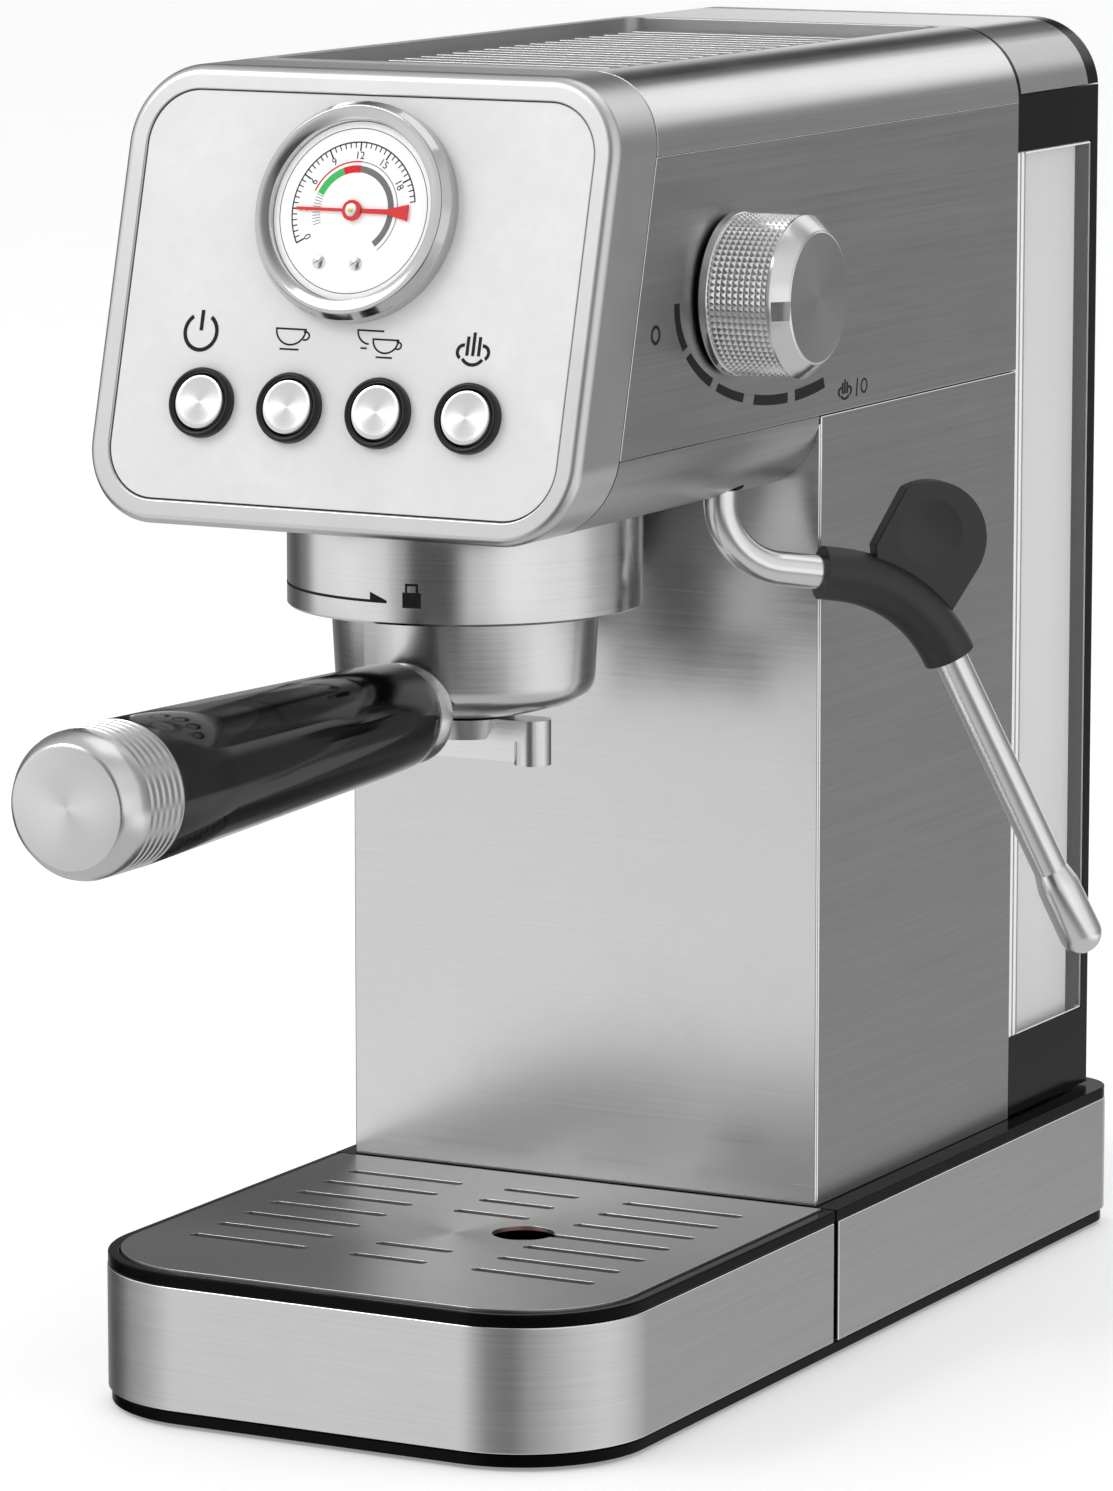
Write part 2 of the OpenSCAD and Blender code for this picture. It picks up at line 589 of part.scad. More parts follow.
// ---- Water tank ----
module tank_block(inset, z0, z1, y0, y1) translate([-side_x + inset, y0, z0])
    cube([body_w - 2 * inset, y1 - y0, z1 - z0]);
module water_tank() color([0.85, 0.9, 0.93, 0.35]) difference() {
    union() {
        tank_block(0.2, foot_top + 0.1, band_bot - 0.1, tank_y + 0.4, tank_back - 4.2);
        tank_block(tank_in + 0.1, tank_bot + 1.6, lid_z - 0.9, tank_y + 1.6, tank_back - 4.2);
    }
    tank_block(tank_in + tank_wall, tank_bot + 4, lid_z + 5, tank_y + 3.8, tank_back - 6.4);
    translate([0, valve_y, tank_bot - 5]) cylinder(r = 8.05, h = 20);
}
module tank_frame() color("#0f0f0f") {
    difference() {
        union() {
            tank_block(0.2, tank_bot, foot_top, tank_y + 0.4, tank_back);
            tank_block(0.2, band_bot, lid_z - 0.3, tank_y + 0.4, tank_back);
            tank_block(0.2, tank_bot, lid_z - 0.3, tank_back - 4.1, tank_back);
        }
        tank_block(tank_in, tank_bot + 1.5, lid_z + 1, tank_y + 1.5, tank_back - 4.1);
        translate([0, valve_y, tank_bot - 5]) cylinder(r = 8.05, h = 10);
    }
    difference() {
        for (s = [-1, 1]) translate([s * 31, 0, 0]) {
            translate([-9, tank_back - 1, lid_z - 6]) cube([18, 3.6, 5.6]);
            translate([-9, hinge_y, lid_z]) rotate([0, 90, 0]) cylinder(r = 2.2, h = 18);
        }
        for (s = [-1, 1]) translate([s * 31, hinge_y, lid_z]) rotate([0, 90, 0])
            cylinder(r = 1.35, h = 30, center = true);
    }
}
module tank_valve() color("#3c3c3c") translate([0, valve_y, tank_bot + 0.2]) difference() {
    union() {
        cylinder(r = 8, h = 5);
        translate([0, 0, 3.9]) cylinder(r = 10, h = 4);
        translate([0, 0, 7.8]) cylinder(r = 5, h = 6);
    }
    translate([0, 0, -1]) cylinder(r = 5, h = 4.6);
}
module tank_coupler() color("#2b2b2b") translate([0, valve_y, 0]) difference() {
    union() {
        translate([0, 0, 26.8]) cylinder(r = 6.9, h = base_h - 26.8);
        translate([0, 0, base_h - 0.1]) cylinder(r = 4.6, h = 3);
    }
    translate([0, 0, 26]) cylinder(r = 2, h = 20);
}
module tank_lid() color("#8d9094") {
    difference() {
        along_y(tank_y + 0.4, tank_back) difference() {
            head_outline(0.15);
            translate([-100, 0]) square([200, lid_z]);
        }
        along_y(tank_y + 2.4, tank_back - 3.5) difference() {
            head_outline(2.4);
            translate([-100, 0]) square([200, lid_z - 1]);
        }
    }
    translate([-21.7, tank_back - 0.5, lid_z + 0.3]) cube([43.4, 3.1, 2]);
    translate([-21.7, hinge_y, lid_z]) rotate([0, 90, 0]) cylinder(r = 2.2, h = 43.4);
    for (s = [-1, 1]) translate([s * 28, hinge_y, lid_z]) rotate([0, 90, 0])
        cylinder(r = 1.3, h = 14, center = true);
}

base_pan();
rubber_feet();
base_housing();
rear_band();
drip_tray();
tray_band();
drip_grid();
tray_float();
column_front();
column_side_left();
column_side_right();
rear_cover();
head_belly();
head_side_left();
head_side_right();
head_roof();
cup_tray();
front_bezel();
front_panel();
head_frame();
gauge_ring();
gauge_case();
gauge_dial();
gauge_glass();
gauge_needle();
power_button();
one_cup_button();
two_cup_button();
steam_button();
button_rings();
control_board();
steam_knob();
valve_spindle();
steam_valve();
group_collar();
group_head();
group_gasket();
shower_screen();
screen_screw();
boiler();
pump();
pump_mounts();
suction_hose();
pressure_hose();
steam_pipe();
wand_nut();
wand_tube();
wand_sleeve();
wand_tip();
portafilter_bowl();
filter_basket();
portafilter_handle();
handle_cap();
portafilter_spout();
water_tank();
tank_frame();
tank_valve();
tank_coupler();
tank_lid();
cord_gland();
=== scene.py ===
# %% [markdown]
# # A slim espresso machine
# The machine's metalwork, joints and sizes come from its CAD model. This notebook dresses that model: it
# replaces the plain CAD solids with pieces that have rolled edges, knurling, printing and clear walls,
# and gives every surface a finish. The CAD model is loaded first, because each piece is placed from it.

# %% Load the frame
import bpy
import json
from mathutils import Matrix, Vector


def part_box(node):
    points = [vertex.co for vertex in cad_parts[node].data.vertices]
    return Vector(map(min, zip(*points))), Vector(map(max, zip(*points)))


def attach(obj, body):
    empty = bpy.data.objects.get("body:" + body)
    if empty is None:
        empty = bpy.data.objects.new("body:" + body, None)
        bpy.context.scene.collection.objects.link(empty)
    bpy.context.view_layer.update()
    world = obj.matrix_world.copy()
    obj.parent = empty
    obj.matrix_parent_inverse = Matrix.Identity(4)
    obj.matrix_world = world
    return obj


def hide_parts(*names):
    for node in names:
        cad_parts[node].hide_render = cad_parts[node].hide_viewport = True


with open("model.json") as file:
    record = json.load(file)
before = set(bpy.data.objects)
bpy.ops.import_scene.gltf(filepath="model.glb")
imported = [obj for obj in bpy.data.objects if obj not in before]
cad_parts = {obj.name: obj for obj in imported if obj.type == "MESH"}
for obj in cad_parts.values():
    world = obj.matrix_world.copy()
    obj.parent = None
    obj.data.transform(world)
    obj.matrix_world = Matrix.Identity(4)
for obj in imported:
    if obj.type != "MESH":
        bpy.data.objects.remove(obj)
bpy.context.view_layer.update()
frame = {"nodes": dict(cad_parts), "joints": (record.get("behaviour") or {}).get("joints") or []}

# %% [markdown]
# Everything below is in metres, so a small constant turns a maker's millimetres into metres. The joints
# of the CAD model say where the gauge, the knob, the brewing group and the wand turn. From each of them
# comes a working frame: a matrix whose Z axis points out of the surface that is worked on. A piece is
# modelled flat and upright at the world's centre, where the operators are easy to use, and is then put in
# place with it.

# %% Places and working frames
import json
import math

import bmesh
import bpy
from mathutils import Matrix, Vector

MM = 0.001
X, Y, Z = Vector((1, 0, 0)), Vector((0, 1, 0)), Vector((0, 0, 1))
joint = {j["name"]: j for j in frame["joints"]}


def working_frame(origin, across, out):
    """Matrix that puts a piece's Z axis along out and its X axis along across."""
    up = out.cross(across)
    return Matrix.Translation(origin) @ Matrix((across, up, out)).transposed().to_4x4()


face_out = Vector(joint["needle_turn"]["axis"])
FACE = working_frame(Vector(joint["needle_turn"]["pos_m"]), X, face_out)
knob_axis = Vector(joint["knob_turn"]["pos_m"])
KNOB = working_frame(knob_axis, Y, X)
group_axis = Vector(joint["portafilter_turn"]["pos_m"])
GROUP = Matrix.Translation((group_axis.x, group_axis.y, 0))
swivel = Vector(joint["wand_swivel"]["pos_m"])
WAND_TURN = math.radians(45)
WAND = Matrix.Translation((swivel.x, swivel.y, 0)) @ Matrix.Rotation(WAND_TURN, 4, "Z")
HERE = Matrix.Identity(4)
print("group axis at y", round(group_axis.y, 4), "- knob axis at", [round(v, 4) for v in knob_axis])

# %% [markdown]
# The pieces are shaped with the same operators that a person uses in edit mode. An operator acts on all
# that is selected, so these helpers deselect everything first and then choose faces or edges by their
# place.

# %% Selecting and editing
def work_on(piece):
    """Leaves edit mode and makes this the only selected object."""
    if bpy.context.mode != "OBJECT":
        bpy.ops.object.mode_set(mode="OBJECT")
    bpy.ops.object.select_all(action="DESELECT")
    if piece is not None:
        piece.select_set(True)
        bpy.context.view_layer.objects.active = piece
    return piece


def choose(piece, kind, test):
    """Enters edit mode and selects the faces, edges or vertices for which test is true."""
    work_on(piece)
    bpy.ops.object.mode_set(mode="EDIT")
    bpy.ops.mesh.select_mode(type=kind)
    bpy.ops.mesh.select_all(action="DESELECT")
    mesh = bmesh.from_edit_mesh(piece.data)
    for part in {"FACE": mesh.faces, "EDGE": mesh.edges, "VERT": mesh.verts}[kind]:
        part.select_set(bool(test(part)))
    bmesh.update_edit_mesh(piece.data)


def middle(edge):
    return (edge.verts[0].co + edge.verts[1].co) / 2


def along(axis):
    """Test for edges that run along an axis."""
    return lambda edge: abs((edge.verts[1].co - edge.verts[0].co).normalized().dot(axis)) > 0.999


def facing(axis, limit=0.99):
    """Test for faces whose normal points along an axis."""
    return lambda face: face.normal.dot(axis) > limit


def copy_of(piece, name):
    """A copy with its own mesh."""
    made = piece.copy()
    made.data = piece.data.copy()
    made.name = made.data.name = name
    bpy.context.collection.objects.link(made)
    return made


def joined(name, pieces):
    """Makes one object of several."""
    work_on(pieces[0])
    for piece in pieces:
        piece.select_set(True)
    if len(pieces) > 1:
        bpy.ops.object.join()
    made = bpy.context.view_layer.objects.active
    made.name = made.data.name = name
    return made


def settled(piece, place=HERE):
    """Puts a piece in place and takes the place into its mesh, so that its object sits at the origin."""
    work_on(piece)
    piece.matrix_world = place @ piece.matrix_world
    bpy.ops.object.transform_apply(location=True, rotation=True, scale=True)
    return piece


# %% [markdown]
# Four kinds of start cover the machine. A block is a cube between two corners, for sheet metal and
# mouldings. A turned piece is a circle that is extruded and scaled ring by ring, as a lathe would leave
# it. A bent tube is a circle that is extruded along the straights and spun round the bends. A cut is a
# Boolean modifier that takes one shape out of another, and is applied at once.

# %% Blocks, turned pieces, tubes and cuts
def block(name, low, high):
    work_on(None)
    low, high = Vector(low), Vector(high)
    bpy.ops.mesh.primitive_cube_add(size=1, location=(low + high) / 2, scale=high - low)
    made = bpy.context.object
    made.name = made.data.name = name
    bpy.ops.object.transform_apply(location=True, rotation=True, scale=True)
    return made


def round_edges(piece, test, radius, segments=12):
    choose(piece, "EDGE", test)
    bpy.ops.mesh.bevel(offset=radius, segments=segments, profile=0.5, affect="EDGES", clamp_overlap=False)
    bpy.ops.object.mode_set(mode="OBJECT")
    return piece


def turned(name, profile, place=HERE, hollow=False, steps=96):
    """Solid of revolution about Z through (radius, height) points. A hollow one has a closed outline."""
    work_on(None)
    radius, height = profile[0]
    bpy.ops.mesh.primitive_circle_add(vertices=steps, radius=radius, location=(0, 0, height))
    made = bpy.context.object
    made.name = made.data.name = name
    bpy.ops.object.transform_apply(location=True)
    bpy.ops.object.mode_set(mode="EDIT")
    bpy.ops.mesh.select_mode(type="EDGE")
    bpy.ops.mesh.select_all(action="SELECT")
    for next_radius, next_height in profile[1:] + (profile[:1] if hollow else []):
        bpy.ops.mesh.extrude_edges_move(TRANSFORM_OT_translate={"value": (0, 0, next_height - height)})
        grow = next_radius / radius
        bpy.ops.transform.resize(value=(grow, grow, 1), center_override=(0, 0, next_height))
        radius, height = next_radius, next_height
    bpy.ops.mesh.select_all(action="SELECT")
    if hollow:
        bpy.ops.mesh.remove_doubles(threshold=0.001 * MM)
    else:
        bpy.ops.mesh.fill_holes(sides=0)
    bpy.ops.mesh.normals_make_consistent(inside=False)
    bpy.ops.object.mode_set(mode="OBJECT")
    return settled(made, place)


def bent_tube(name, radius, start, heading, legs, place=HERE, steps=32):
    """Round bar in the X-Z plane from start, at a heading in degrees. A leg: (bend, its radius, length)."""
    work_on(None)
    bpy.ops.mesh.primitive_circle_add(
        vertices=steps, radius=radius, location=(start[0], 0, start[1]),
        rotation=(0, -math.radians(heading + 90), 0))
    made = bpy.context.object
    made.name = made.data.name = name
    bpy.ops.object.transform_apply(location=True, rotation=True)
    bpy.ops.object.mode_set(mode="EDIT")
    bpy.ops.mesh.select_mode(type="EDGE")
    bpy.ops.mesh.select_all(action="SELECT")
    at, heading = Vector((start[0], 0, start[1])), math.radians(heading)
    for bend, bend_radius, length in legs:
        if bend:
            turn = math.radians(bend)
            side = 1 if turn > 0 else -1
            centre = at + side * bend_radius * Vector((-math.sin(heading), 0, math.cos(heading)))
            bpy.ops.mesh.spin(steps=max(6, round(abs(bend) / 4)), angle=turn, center=centre, axis=Y)
            at = centre + Matrix.Rotation(turn, 3, (0, -1, 0)) @ (at - centre)
            heading += turn
        if length:
            step = length * Vector((math.cos(heading), 0, math.sin(heading)))
            bpy.ops.mesh.extrude_edges_move(TRANSFORM_OT_translate={"value": step})
            at += step
    bpy.ops.mesh.select_all(action="SELECT")
    bpy.ops.mesh.remove_doubles(threshold=0.001 * MM)
    bpy.ops.mesh.fill_holes(sides=0)
    bpy.ops.mesh.normals_make_consistent(inside=False)
    bpy.ops.object.mode_set(mode="OBJECT")
    return settled(made, place)


def applied(piece, kind, **values):
    """Adds a modifier with these values and applies it."""
    work_on(piece)
    modifier = piece.modifiers.new(kind.title(), kind)
    for name, value in values.items():
        setattr(modifier, name, value)
    bpy.ops.object.modifier_apply(modifier=modifier.name)
    return piece


def cut(piece, *tools):
    """Takes the tools' shapes out of a piece and removes the tools."""
    for tool in tools:
        applied(piece, "BOOLEAN", operation="DIFFERENCE", solver="EXACT", object=tool)
        bpy.data.objects.remove(tool)
    return piece


def sliced(piece, point, normal, fill=True):
    """Cuts a piece with a plane and drops the side that the normal points to."""
    choose(piece, "FACE", lambda face: True)
    bpy.ops.mesh.bisect(plane_co=point, plane_no=Vector(normal).normalized(), use_fill=fill, clear_outer=True)
    bpy.ops.object.mode_set(mode="OBJECT")
    return piece


def drop_faces(piece, test):
    choose(piece, "FACE", test)
    bpy.ops.mesh.delete(type="FACE")
    bpy.ops.object.mode_set(mode="OBJECT")
    return piece


# %% [markdown]
# No edge on a real part is sharp. A bevel modifier with hardened normals rolls every edge a little, keeps
# the flats flat, and can give the rolled edge a finish of its own, such as the brighter steel that paints
# the bright highlight line along a folded steel edge. The dress helper finishes a piece: its materials,
# the body that it rides on and the CAD nodes that it stands for. Softened does all of it for a CAD shape
# that only needs rolled edges.

# %% Rolled edges and dressing
def rolled(piece, width, segments=3, edge_finish=False):
    """Rolls the sharp edges. With edge_finish the rolled strips take the piece's second finish."""
    work_on(piece)
    bpy.ops.object.shade_smooth()
    while edge_finish and len(piece.data.materials) < 2:
        piece.data.materials.append(None)
    applied(
        piece, "BEVEL", width=width, segments=segments, limit_method="ANGLE", angle_limit=math.radians(32),
        harden_normals=True, material=1 if edge_finish else -1, use_clamp_overlap=True)
    return applied(piece, "WEIGHTED_NORMAL", keep_sharp=True)


def from_frame(node, name):
    """A merged copy of a CAD node, for a piece whose shape is right but whose edges are still sharp."""
    made = copy_of(frame["nodes"][node], name)
    made.parent = None
    for key in list(made.keys()):
        del made[key]
    made.data.materials.clear()
    work_on(made)
    bpy.ops.mesh.customdata_custom_splitnormals_clear()
    choose(made, "FACE", lambda face: True)
    bpy.ops.mesh.remove_doubles(threshold=0.002 * MM)
    bpy.ops.mesh.select_all(action="SELECT")
    bpy.ops.mesh.dissolve_limited(angle_limit=math.radians(0.6), delimit=set())
    bpy.ops.object.mode_set(mode="OBJECT")
    return made


def with_finish(piece, index, test):
    """Gives the faces for which test is true another of the piece's finishes, by its index."""
    while len(piece.data.materials) <= index:
        piece.data.materials.append(None)
    choose(piece, "FACE", test)
    piece.active_material_index = index
    bpy.ops.object.material_slot_assign()
    bpy.ops.object.mode_set(mode="OBJECT")
    return piece


def smoothed(piece, angle=32):
    work_on(piece)
    bpy.ops.object.shade_smooth_by_angle(angle=math.radians(angle))
    return piece


def dress(piece, body, slot, finishes, *nodes):
    """Gives a new piece its finishes and tells the frame what it rides on and which nodes it stands for."""
    finishes = finishes if isinstance(finishes, (list, tuple)) else [finishes]
    slots = piece.data.materials
    for index, finish in enumerate(finishes):
        if index < len(slots):
            slots[index] = finish
        else:
            slots.append(finish)
    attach(piece, body)
    if nodes:
        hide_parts(*nodes)
    print(f"{piece.name}: {len(piece.data.polygons)} faces on {body}")
    return piece


def softened(node, name, width, body, slot, finishes, **rolling):
    """A CAD node that only needs its edges rolled, dressed. The width is in millimetres."""
    return dress(rolled(from_frame(node, name), width * MM, **rolling), body, slot, finishes, node)


# %% [markdown]
# ## Finishes
# Brushed steel, grained plastic and handling marks show up on many parts, so each is a node group with
# named inputs that is built once. A group gives out only masks and heights. The shader stays in the
# material, so a finish can still be repainted.
#
# Brushing is noise that is stretched along the grain. Stretch holds how many times per metre it changes
# along X, Y and Z: a low number along the grain and a high one across it.

# %% Node helpers and the shared groups
def link(tree, source, target):
    tree.links.new(source, target)


def new_group(name, inputs, outputs):
    group = bpy.data.node_groups.new(name, "ShaderNodeTree")
    for socket, kind, value in inputs:
        made = group.interface.new_socket(name=socket, in_out="INPUT", socket_type=f"NodeSocket{kind}")
        if value is not None:
            made.default_value = value
    for socket in outputs:
        group.interface.new_socket(name=socket, in_out="OUTPUT", socket_type="NodeSocketFloat")
    return group, group.nodes.new("NodeGroupInput"), group.nodes.new("NodeGroupOutput")


def maths(tree, operation, first, second=None):
    node = tree.nodes.new("ShaderNodeMath")
    node.operation = operation
    for socket, value in zip(node.inputs, (first, second)):
        if value is None:
            continue
        if isinstance(value, (int, float)):
            socket.default_value = value
        else:
            link(tree, value, socket)
    return node.outputs[0]


def noise(tree, vector, scale, detail=3.0, roughness=0.55):
    node = tree.nodes.new("ShaderNodeTexNoise")
    node.inputs["Scale"].default_value = scale
    node.inputs["Detail"].default_value = detail
    node.inputs["Roughness"].default_value = roughness
    link(tree, vector, node.inputs["Vector"])
    return node.outputs["Fac"]


def build_brushing():
    group, given, out = new_group(
        "brushing", [("Position", "Vector", None), ("Stretch", "Vector", (60, 60, 6000))], ["Lines"])
    scaled = group.nodes.new("ShaderNodeVectorMath")
    scaled.operation = "MULTIPLY"
    link(group, given.outputs["Position"], scaled.inputs[0])
    link(group, given.outputs["Stretch"], scaled.inputs[1])
    fine = noise(group, scaled.outputs[0], 1.0, detail=2.0, roughness=0.7)
    coarse = noise(group, scaled.outputs[0], 0.23, detail=2.0)
    both = maths(group, "ADD", maths(group, "MULTIPLY", fine, 0.6), maths(group, "MULTIPLY", coarse, 0.4))
    link(group, both, out.inputs["Lines"])
    return group


def build_handling():
    """Faint wiped marks: a mask that varies over centimetres, with finer smears in it."""
    group, given, out = new_group(
        "handling", [("Position", "Vector", None), ("Size", "Float", 30.0)], ["Marks"])
    wide = group.nodes.new("ShaderNodeTexNoise")
    wide.inputs["Detail"].default_value = 4.0
    wide.inputs["Distortion"].default_value = 0.6
    link(group, given.outputs["Position"], wide.inputs["Vector"])
    link(group, given.outputs["Size"], wide.inputs["Scale"])
    fine = noise(group, given.outputs["Position"], 260.0, detail=3.0)
    both = maths(group, "MULTIPLY", wide.outputs["Fac"], maths(group, "ADD", fine, 0.4))
    link(group, both, out.inputs["Marks"])
    return group


def build_grain():
    """The fine texture of a mould, as a height."""
    group, given, out = new_group(
        "mould_grain", [("Position", "Vector", None), ("Size", "Float", 2400.0)], ["Height"])
    cells = group.nodes.new("ShaderNodeTexVoronoi")
    cells.feature = "SMOOTH_F1"
    link(group, given.outputs["Position"], cells.inputs["Vector"])
    link(group, given.outputs["Size"], cells.inputs["Scale"])
    link(group, cells.outputs["Distance"], out.inputs["Height"])
    return group


BRUSHING, HANDLING, GRAIN = build_brushing(), build_handling(), build_grain()
print("node groups:", [g.name for g in bpy.data.node_groups])

# %% [markdown]
# Each finish starts from one maker function that sets the Principled shader's plain numbers on its own
# sockets, and then lets a group vary the colour, the roughness and the surface around them.

# %% Finish makers
def finish(name, colour, roughness, metallic=0.0, **sockets):
    made = bpy.data.materials.new(name)
    made.use_nodes = True
    tree = made.node_tree
    shader = tree.nodes["Principled BSDF"]
    shader.inputs["Base Color"].default_value = (*colour, 1)
    shader.inputs["Roughness"].default_value = roughness
    shader.inputs["Metallic"].default_value = metallic
    for socket, value in sockets.items():
        shader.inputs[socket.replace("_", " ")].default_value = value
    place = tree.nodes.new("ShaderNodeTexCoord").outputs["Object"]
    made.diffuse_color = (*colour, 1)
    return made, tree, shader, place


def placed_group(tree, group, place, **values):
    node = tree.nodes.new("ShaderNodeGroup")
    node.node_tree = group
    link(tree, place, node.inputs["Position"])
    for socket, value in values.items():
        node.inputs[socket].default_value = value
    return node.outputs


def between(tree, mask, low, high):
    """Turns a mask, most of which lies from 0.25 to 0.75, into a value from low to high."""
    node = tree.nodes.new("ShaderNodeMapRange")
    node.inputs["From Min"].default_value = 0.25
    node.inputs["From Max"].default_value = 0.75
    node.inputs["To Min"].default_value = low
    node.inputs["To Max"].default_value = high
    link(tree, mask, node.inputs["Value"])
    return node.outputs["Result"]


def tinted(tree, mask, dark, light):
    """Turns a mask into a colour between two."""
    node = tree.nodes.new("ShaderNodeValToRGB")
    node.color_ramp.elements[0].position = 0.3
    node.color_ramp.elements[1].position = 0.7
    node.color_ramp.elements[0].color = (*dark, 1)
    node.color_ramp.elements[1].color = (*light, 1)
    link(tree, mask, node.inputs["Fac"])
    return node.outputs["Color"]


def bumped(tree, shader, height, strength, distance):
    node = tree.nodes.new("ShaderNodeBump")
    node.inputs["Strength"].default_value = strength
    node.inputs["Distance"].default_value = distance
    link(tree, height, node.inputs["Height"])
    link(tree, node.outputs["Normal"], shader.inputs["Normal"])


def grey(level):
    return (level, level, level * 0.995)


def brushed_metal(name, level, stretch, roughness=0.3, contrast=0.10, bump=0.25, lengthwise=0.25, blur=0.6):
    """Steel brushed along a direction. Its highlights are drawn out across the grain."""
    made, tree, shader, place = finish(
        name, grey(level), roughness, 1.0, Anisotropic=blur, Anisotropic_Rotation=lengthwise)
    grain = placed_group(tree, BRUSHING, place, Stretch=stretch)
    marks = placed_group(tree, HANDLING, place)
    link(tree, tinted(tree, grain["Lines"], grey(level * (1 - contrast)), grey(level * (1 + contrast))),
         shader.inputs["Base Color"])
    wear = maths(tree, "MULTIPLY", marks["Marks"], 0.08)
    link(tree, maths(tree, "ADD", between(tree, grain["Lines"], roughness - 0.06, roughness + 0.04), wear),
         shader.inputs["Roughness"])
    bumped(tree, shader, grain["Lines"], bump, 0.02 * MM)
    return made


def smooth_metal(name, colour, roughness, marks=0.05):
    """Polished or satin metal with faint handling marks."""
    made, tree, shader, place = finish(name, colour, roughness, 1.0)
    wiped = placed_group(tree, HANDLING, place)["Marks"]
    link(tree, between(tree, wiped, roughness, roughness + marks), shader.inputs["Roughness"])
    link(tree, tinted(tree, wiped, [c * 0.97 for c in colour], colour), shader.inputs["Base Color"])
    return made


def moulded(name, colour, roughness, grain_size=0.0, grain_depth=0.01, marks=0.08, **sockets):
    """Moulded plastic or rubber, with mould grain where it has any."""
    made, tree, shader, place = finish(name, colour, roughness, 0.0, **sockets)
    wiped = placed_group(tree, HANDLING, place)["Marks"]
    link(tree, between(tree, wiped, roughness, roughness + marks), shader.inputs["Roughness"])
    link(tree, tinted(tree, wiped, [c * 0.92 for c in colour], colour), shader.inputs["Base Color"])
    if grain_size:
        height = placed_group(tree, GRAIN, place, Size=grain_size)["Height"]
        bumped(tree, shader, height, 0.35, grain_depth * MM)
    return made


def printed_ink(name, colour):
    """Screen-printed ink: nearly flat, with a faintly broken film."""
    made, tree, shader, place = finish(name, colour, 0.5, Specular_IOR_Level=0.2)
    film = noise(tree, place, 5000.0, detail=1.0)
    link(tree, between(tree, film, 0.42, 0.6), shader.inputs["Roughness"])
    link(tree, tinted(tree, film, colour, [c + 0.01 for c in colour]), shader.inputs["Base Color"])
    return made


def clear_plastic(name, tint, mirror, haze=0.0):
    """Clear wall: light goes straight through, and the Fresnel share of it is mirrored."""
    made, tree, shader, place = finish(name, tint, 0.06, 0.0)
    wiped = placed_group(tree, HANDLING, place)["Marks"]
    link(tree, between(tree, wiped, 0.03, 0.12), shader.inputs["Roughness"])
    see = tree.nodes.new("ShaderNodeBsdfTransparent")
    see.inputs["Color"].default_value = (*tint, 1)
    angle = tree.nodes.new("ShaderNodeFresnel")
    angle.inputs["IOR"].default_value = mirror
    mix = tree.nodes.new("ShaderNodeMixShader")
    link(tree, maths(tree, "ADD", angle.outputs[0], haze), mix.inputs[0])
    link(tree, see.outputs[0], mix.inputs[1])
    link(tree, shader.outputs[0], mix.inputs[2])
    link(tree, mix.outputs[0], tree.nodes["Material Output"].inputs["Surface"])
    return made


# %% [markdown]
# The finishes themselves. The steel skins are brushed level, so the fast direction is Z on upright walls.
# The roof is brushed along the machine, so there the fast direction is X. The drip grid is brushed across
# it, so there it is Y. The spun caps have rings round their own centre, and get their finish further down.

# %% The machine's finishes
ACROSS, GRAIN_LONG = 5200, 26
UPRIGHT = (GRAIN_LONG, GRAIN_LONG, ACROSS)
FLAT = (ACROSS, GRAIN_LONG, ACROSS)

# The skins are one brushed steel. The sides and the belly get a darker level (0.46) than the column front
# (0.62) as painted shade, and the roof a lighter one (0.74) as painted light. Grain direction and roughness
# are their own finish.
shaded_side_steel = brushed_metal("shaded_side_steel", 0.46, UPRIGHT, 0.32, contrast=0.12, bump=0.18)
front_steel = brushed_metal("front_steel", 0.62, UPRIGHT, 0.20, contrast=0.05, bump=0.06, blur=0.4)
band_steel = brushed_metal("band_steel", 0.60, UPRIGHT, 0.30, contrast=0.09)
lit_roof_steel = brushed_metal("lit_roof_steel", 0.74, FLAT, 0.15, contrast=0.05, bump=0.06, blur=0.2)
warmer_steel = smooth_metal("warmer_steel", grey(0.56), 0.30)
grid_steel = brushed_metal("grid_steel", 0.38, (GRAIN_LONG, ACROSS, ACROSS), 0.34, contrast=0.10)
turned_steel = brushed_metal("turned_steel", 0.70, (40, 40, 7000), 0.17, contrast=0.06, bump=0.08, blur=0.3)
bowl_steel = brushed_metal("bowl_steel", 0.66, (40, 40, 7000), 0.20, contrast=0.06, bump=0.08, blur=0.3)
# A brighter, smoother steel for rolled edges: partly a polished cut edge, partly painted highlight lines
# along folds and seams.
bright_edge_highlight = smooth_metal("bright_edge_highlight", grey(0.88), 0.14)
polished_steel = smooth_metal("polished_steel", grey(0.82), 0.08)
satin_silver = smooth_metal("satin_silver", grey(0.80), 0.30)
knob_silver = smooth_metal("knob_silver", grey(0.74), 0.16)
bezel_silver = smooth_metal("bezel_silver", grey(0.66), 0.30)
ring_steel = smooth_metal("ring_steel", grey(0.60), 0.10)
cast_aluminium = smooth_metal("cast_aluminium", (0.55, 0.56, 0.57), 0.45)
brass = smooth_metal("brass", (0.72, 0.52, 0.20), 0.25)
copper = smooth_metal("copper", (0.80, 0.42, 0.26), 0.22)
panel_white = moulded(
    "panel_white", (0.74, 0.74, 0.745), 0.38, 1800, 0.004, Coat_Weight=0.2, Coat_Roughness=0.3)
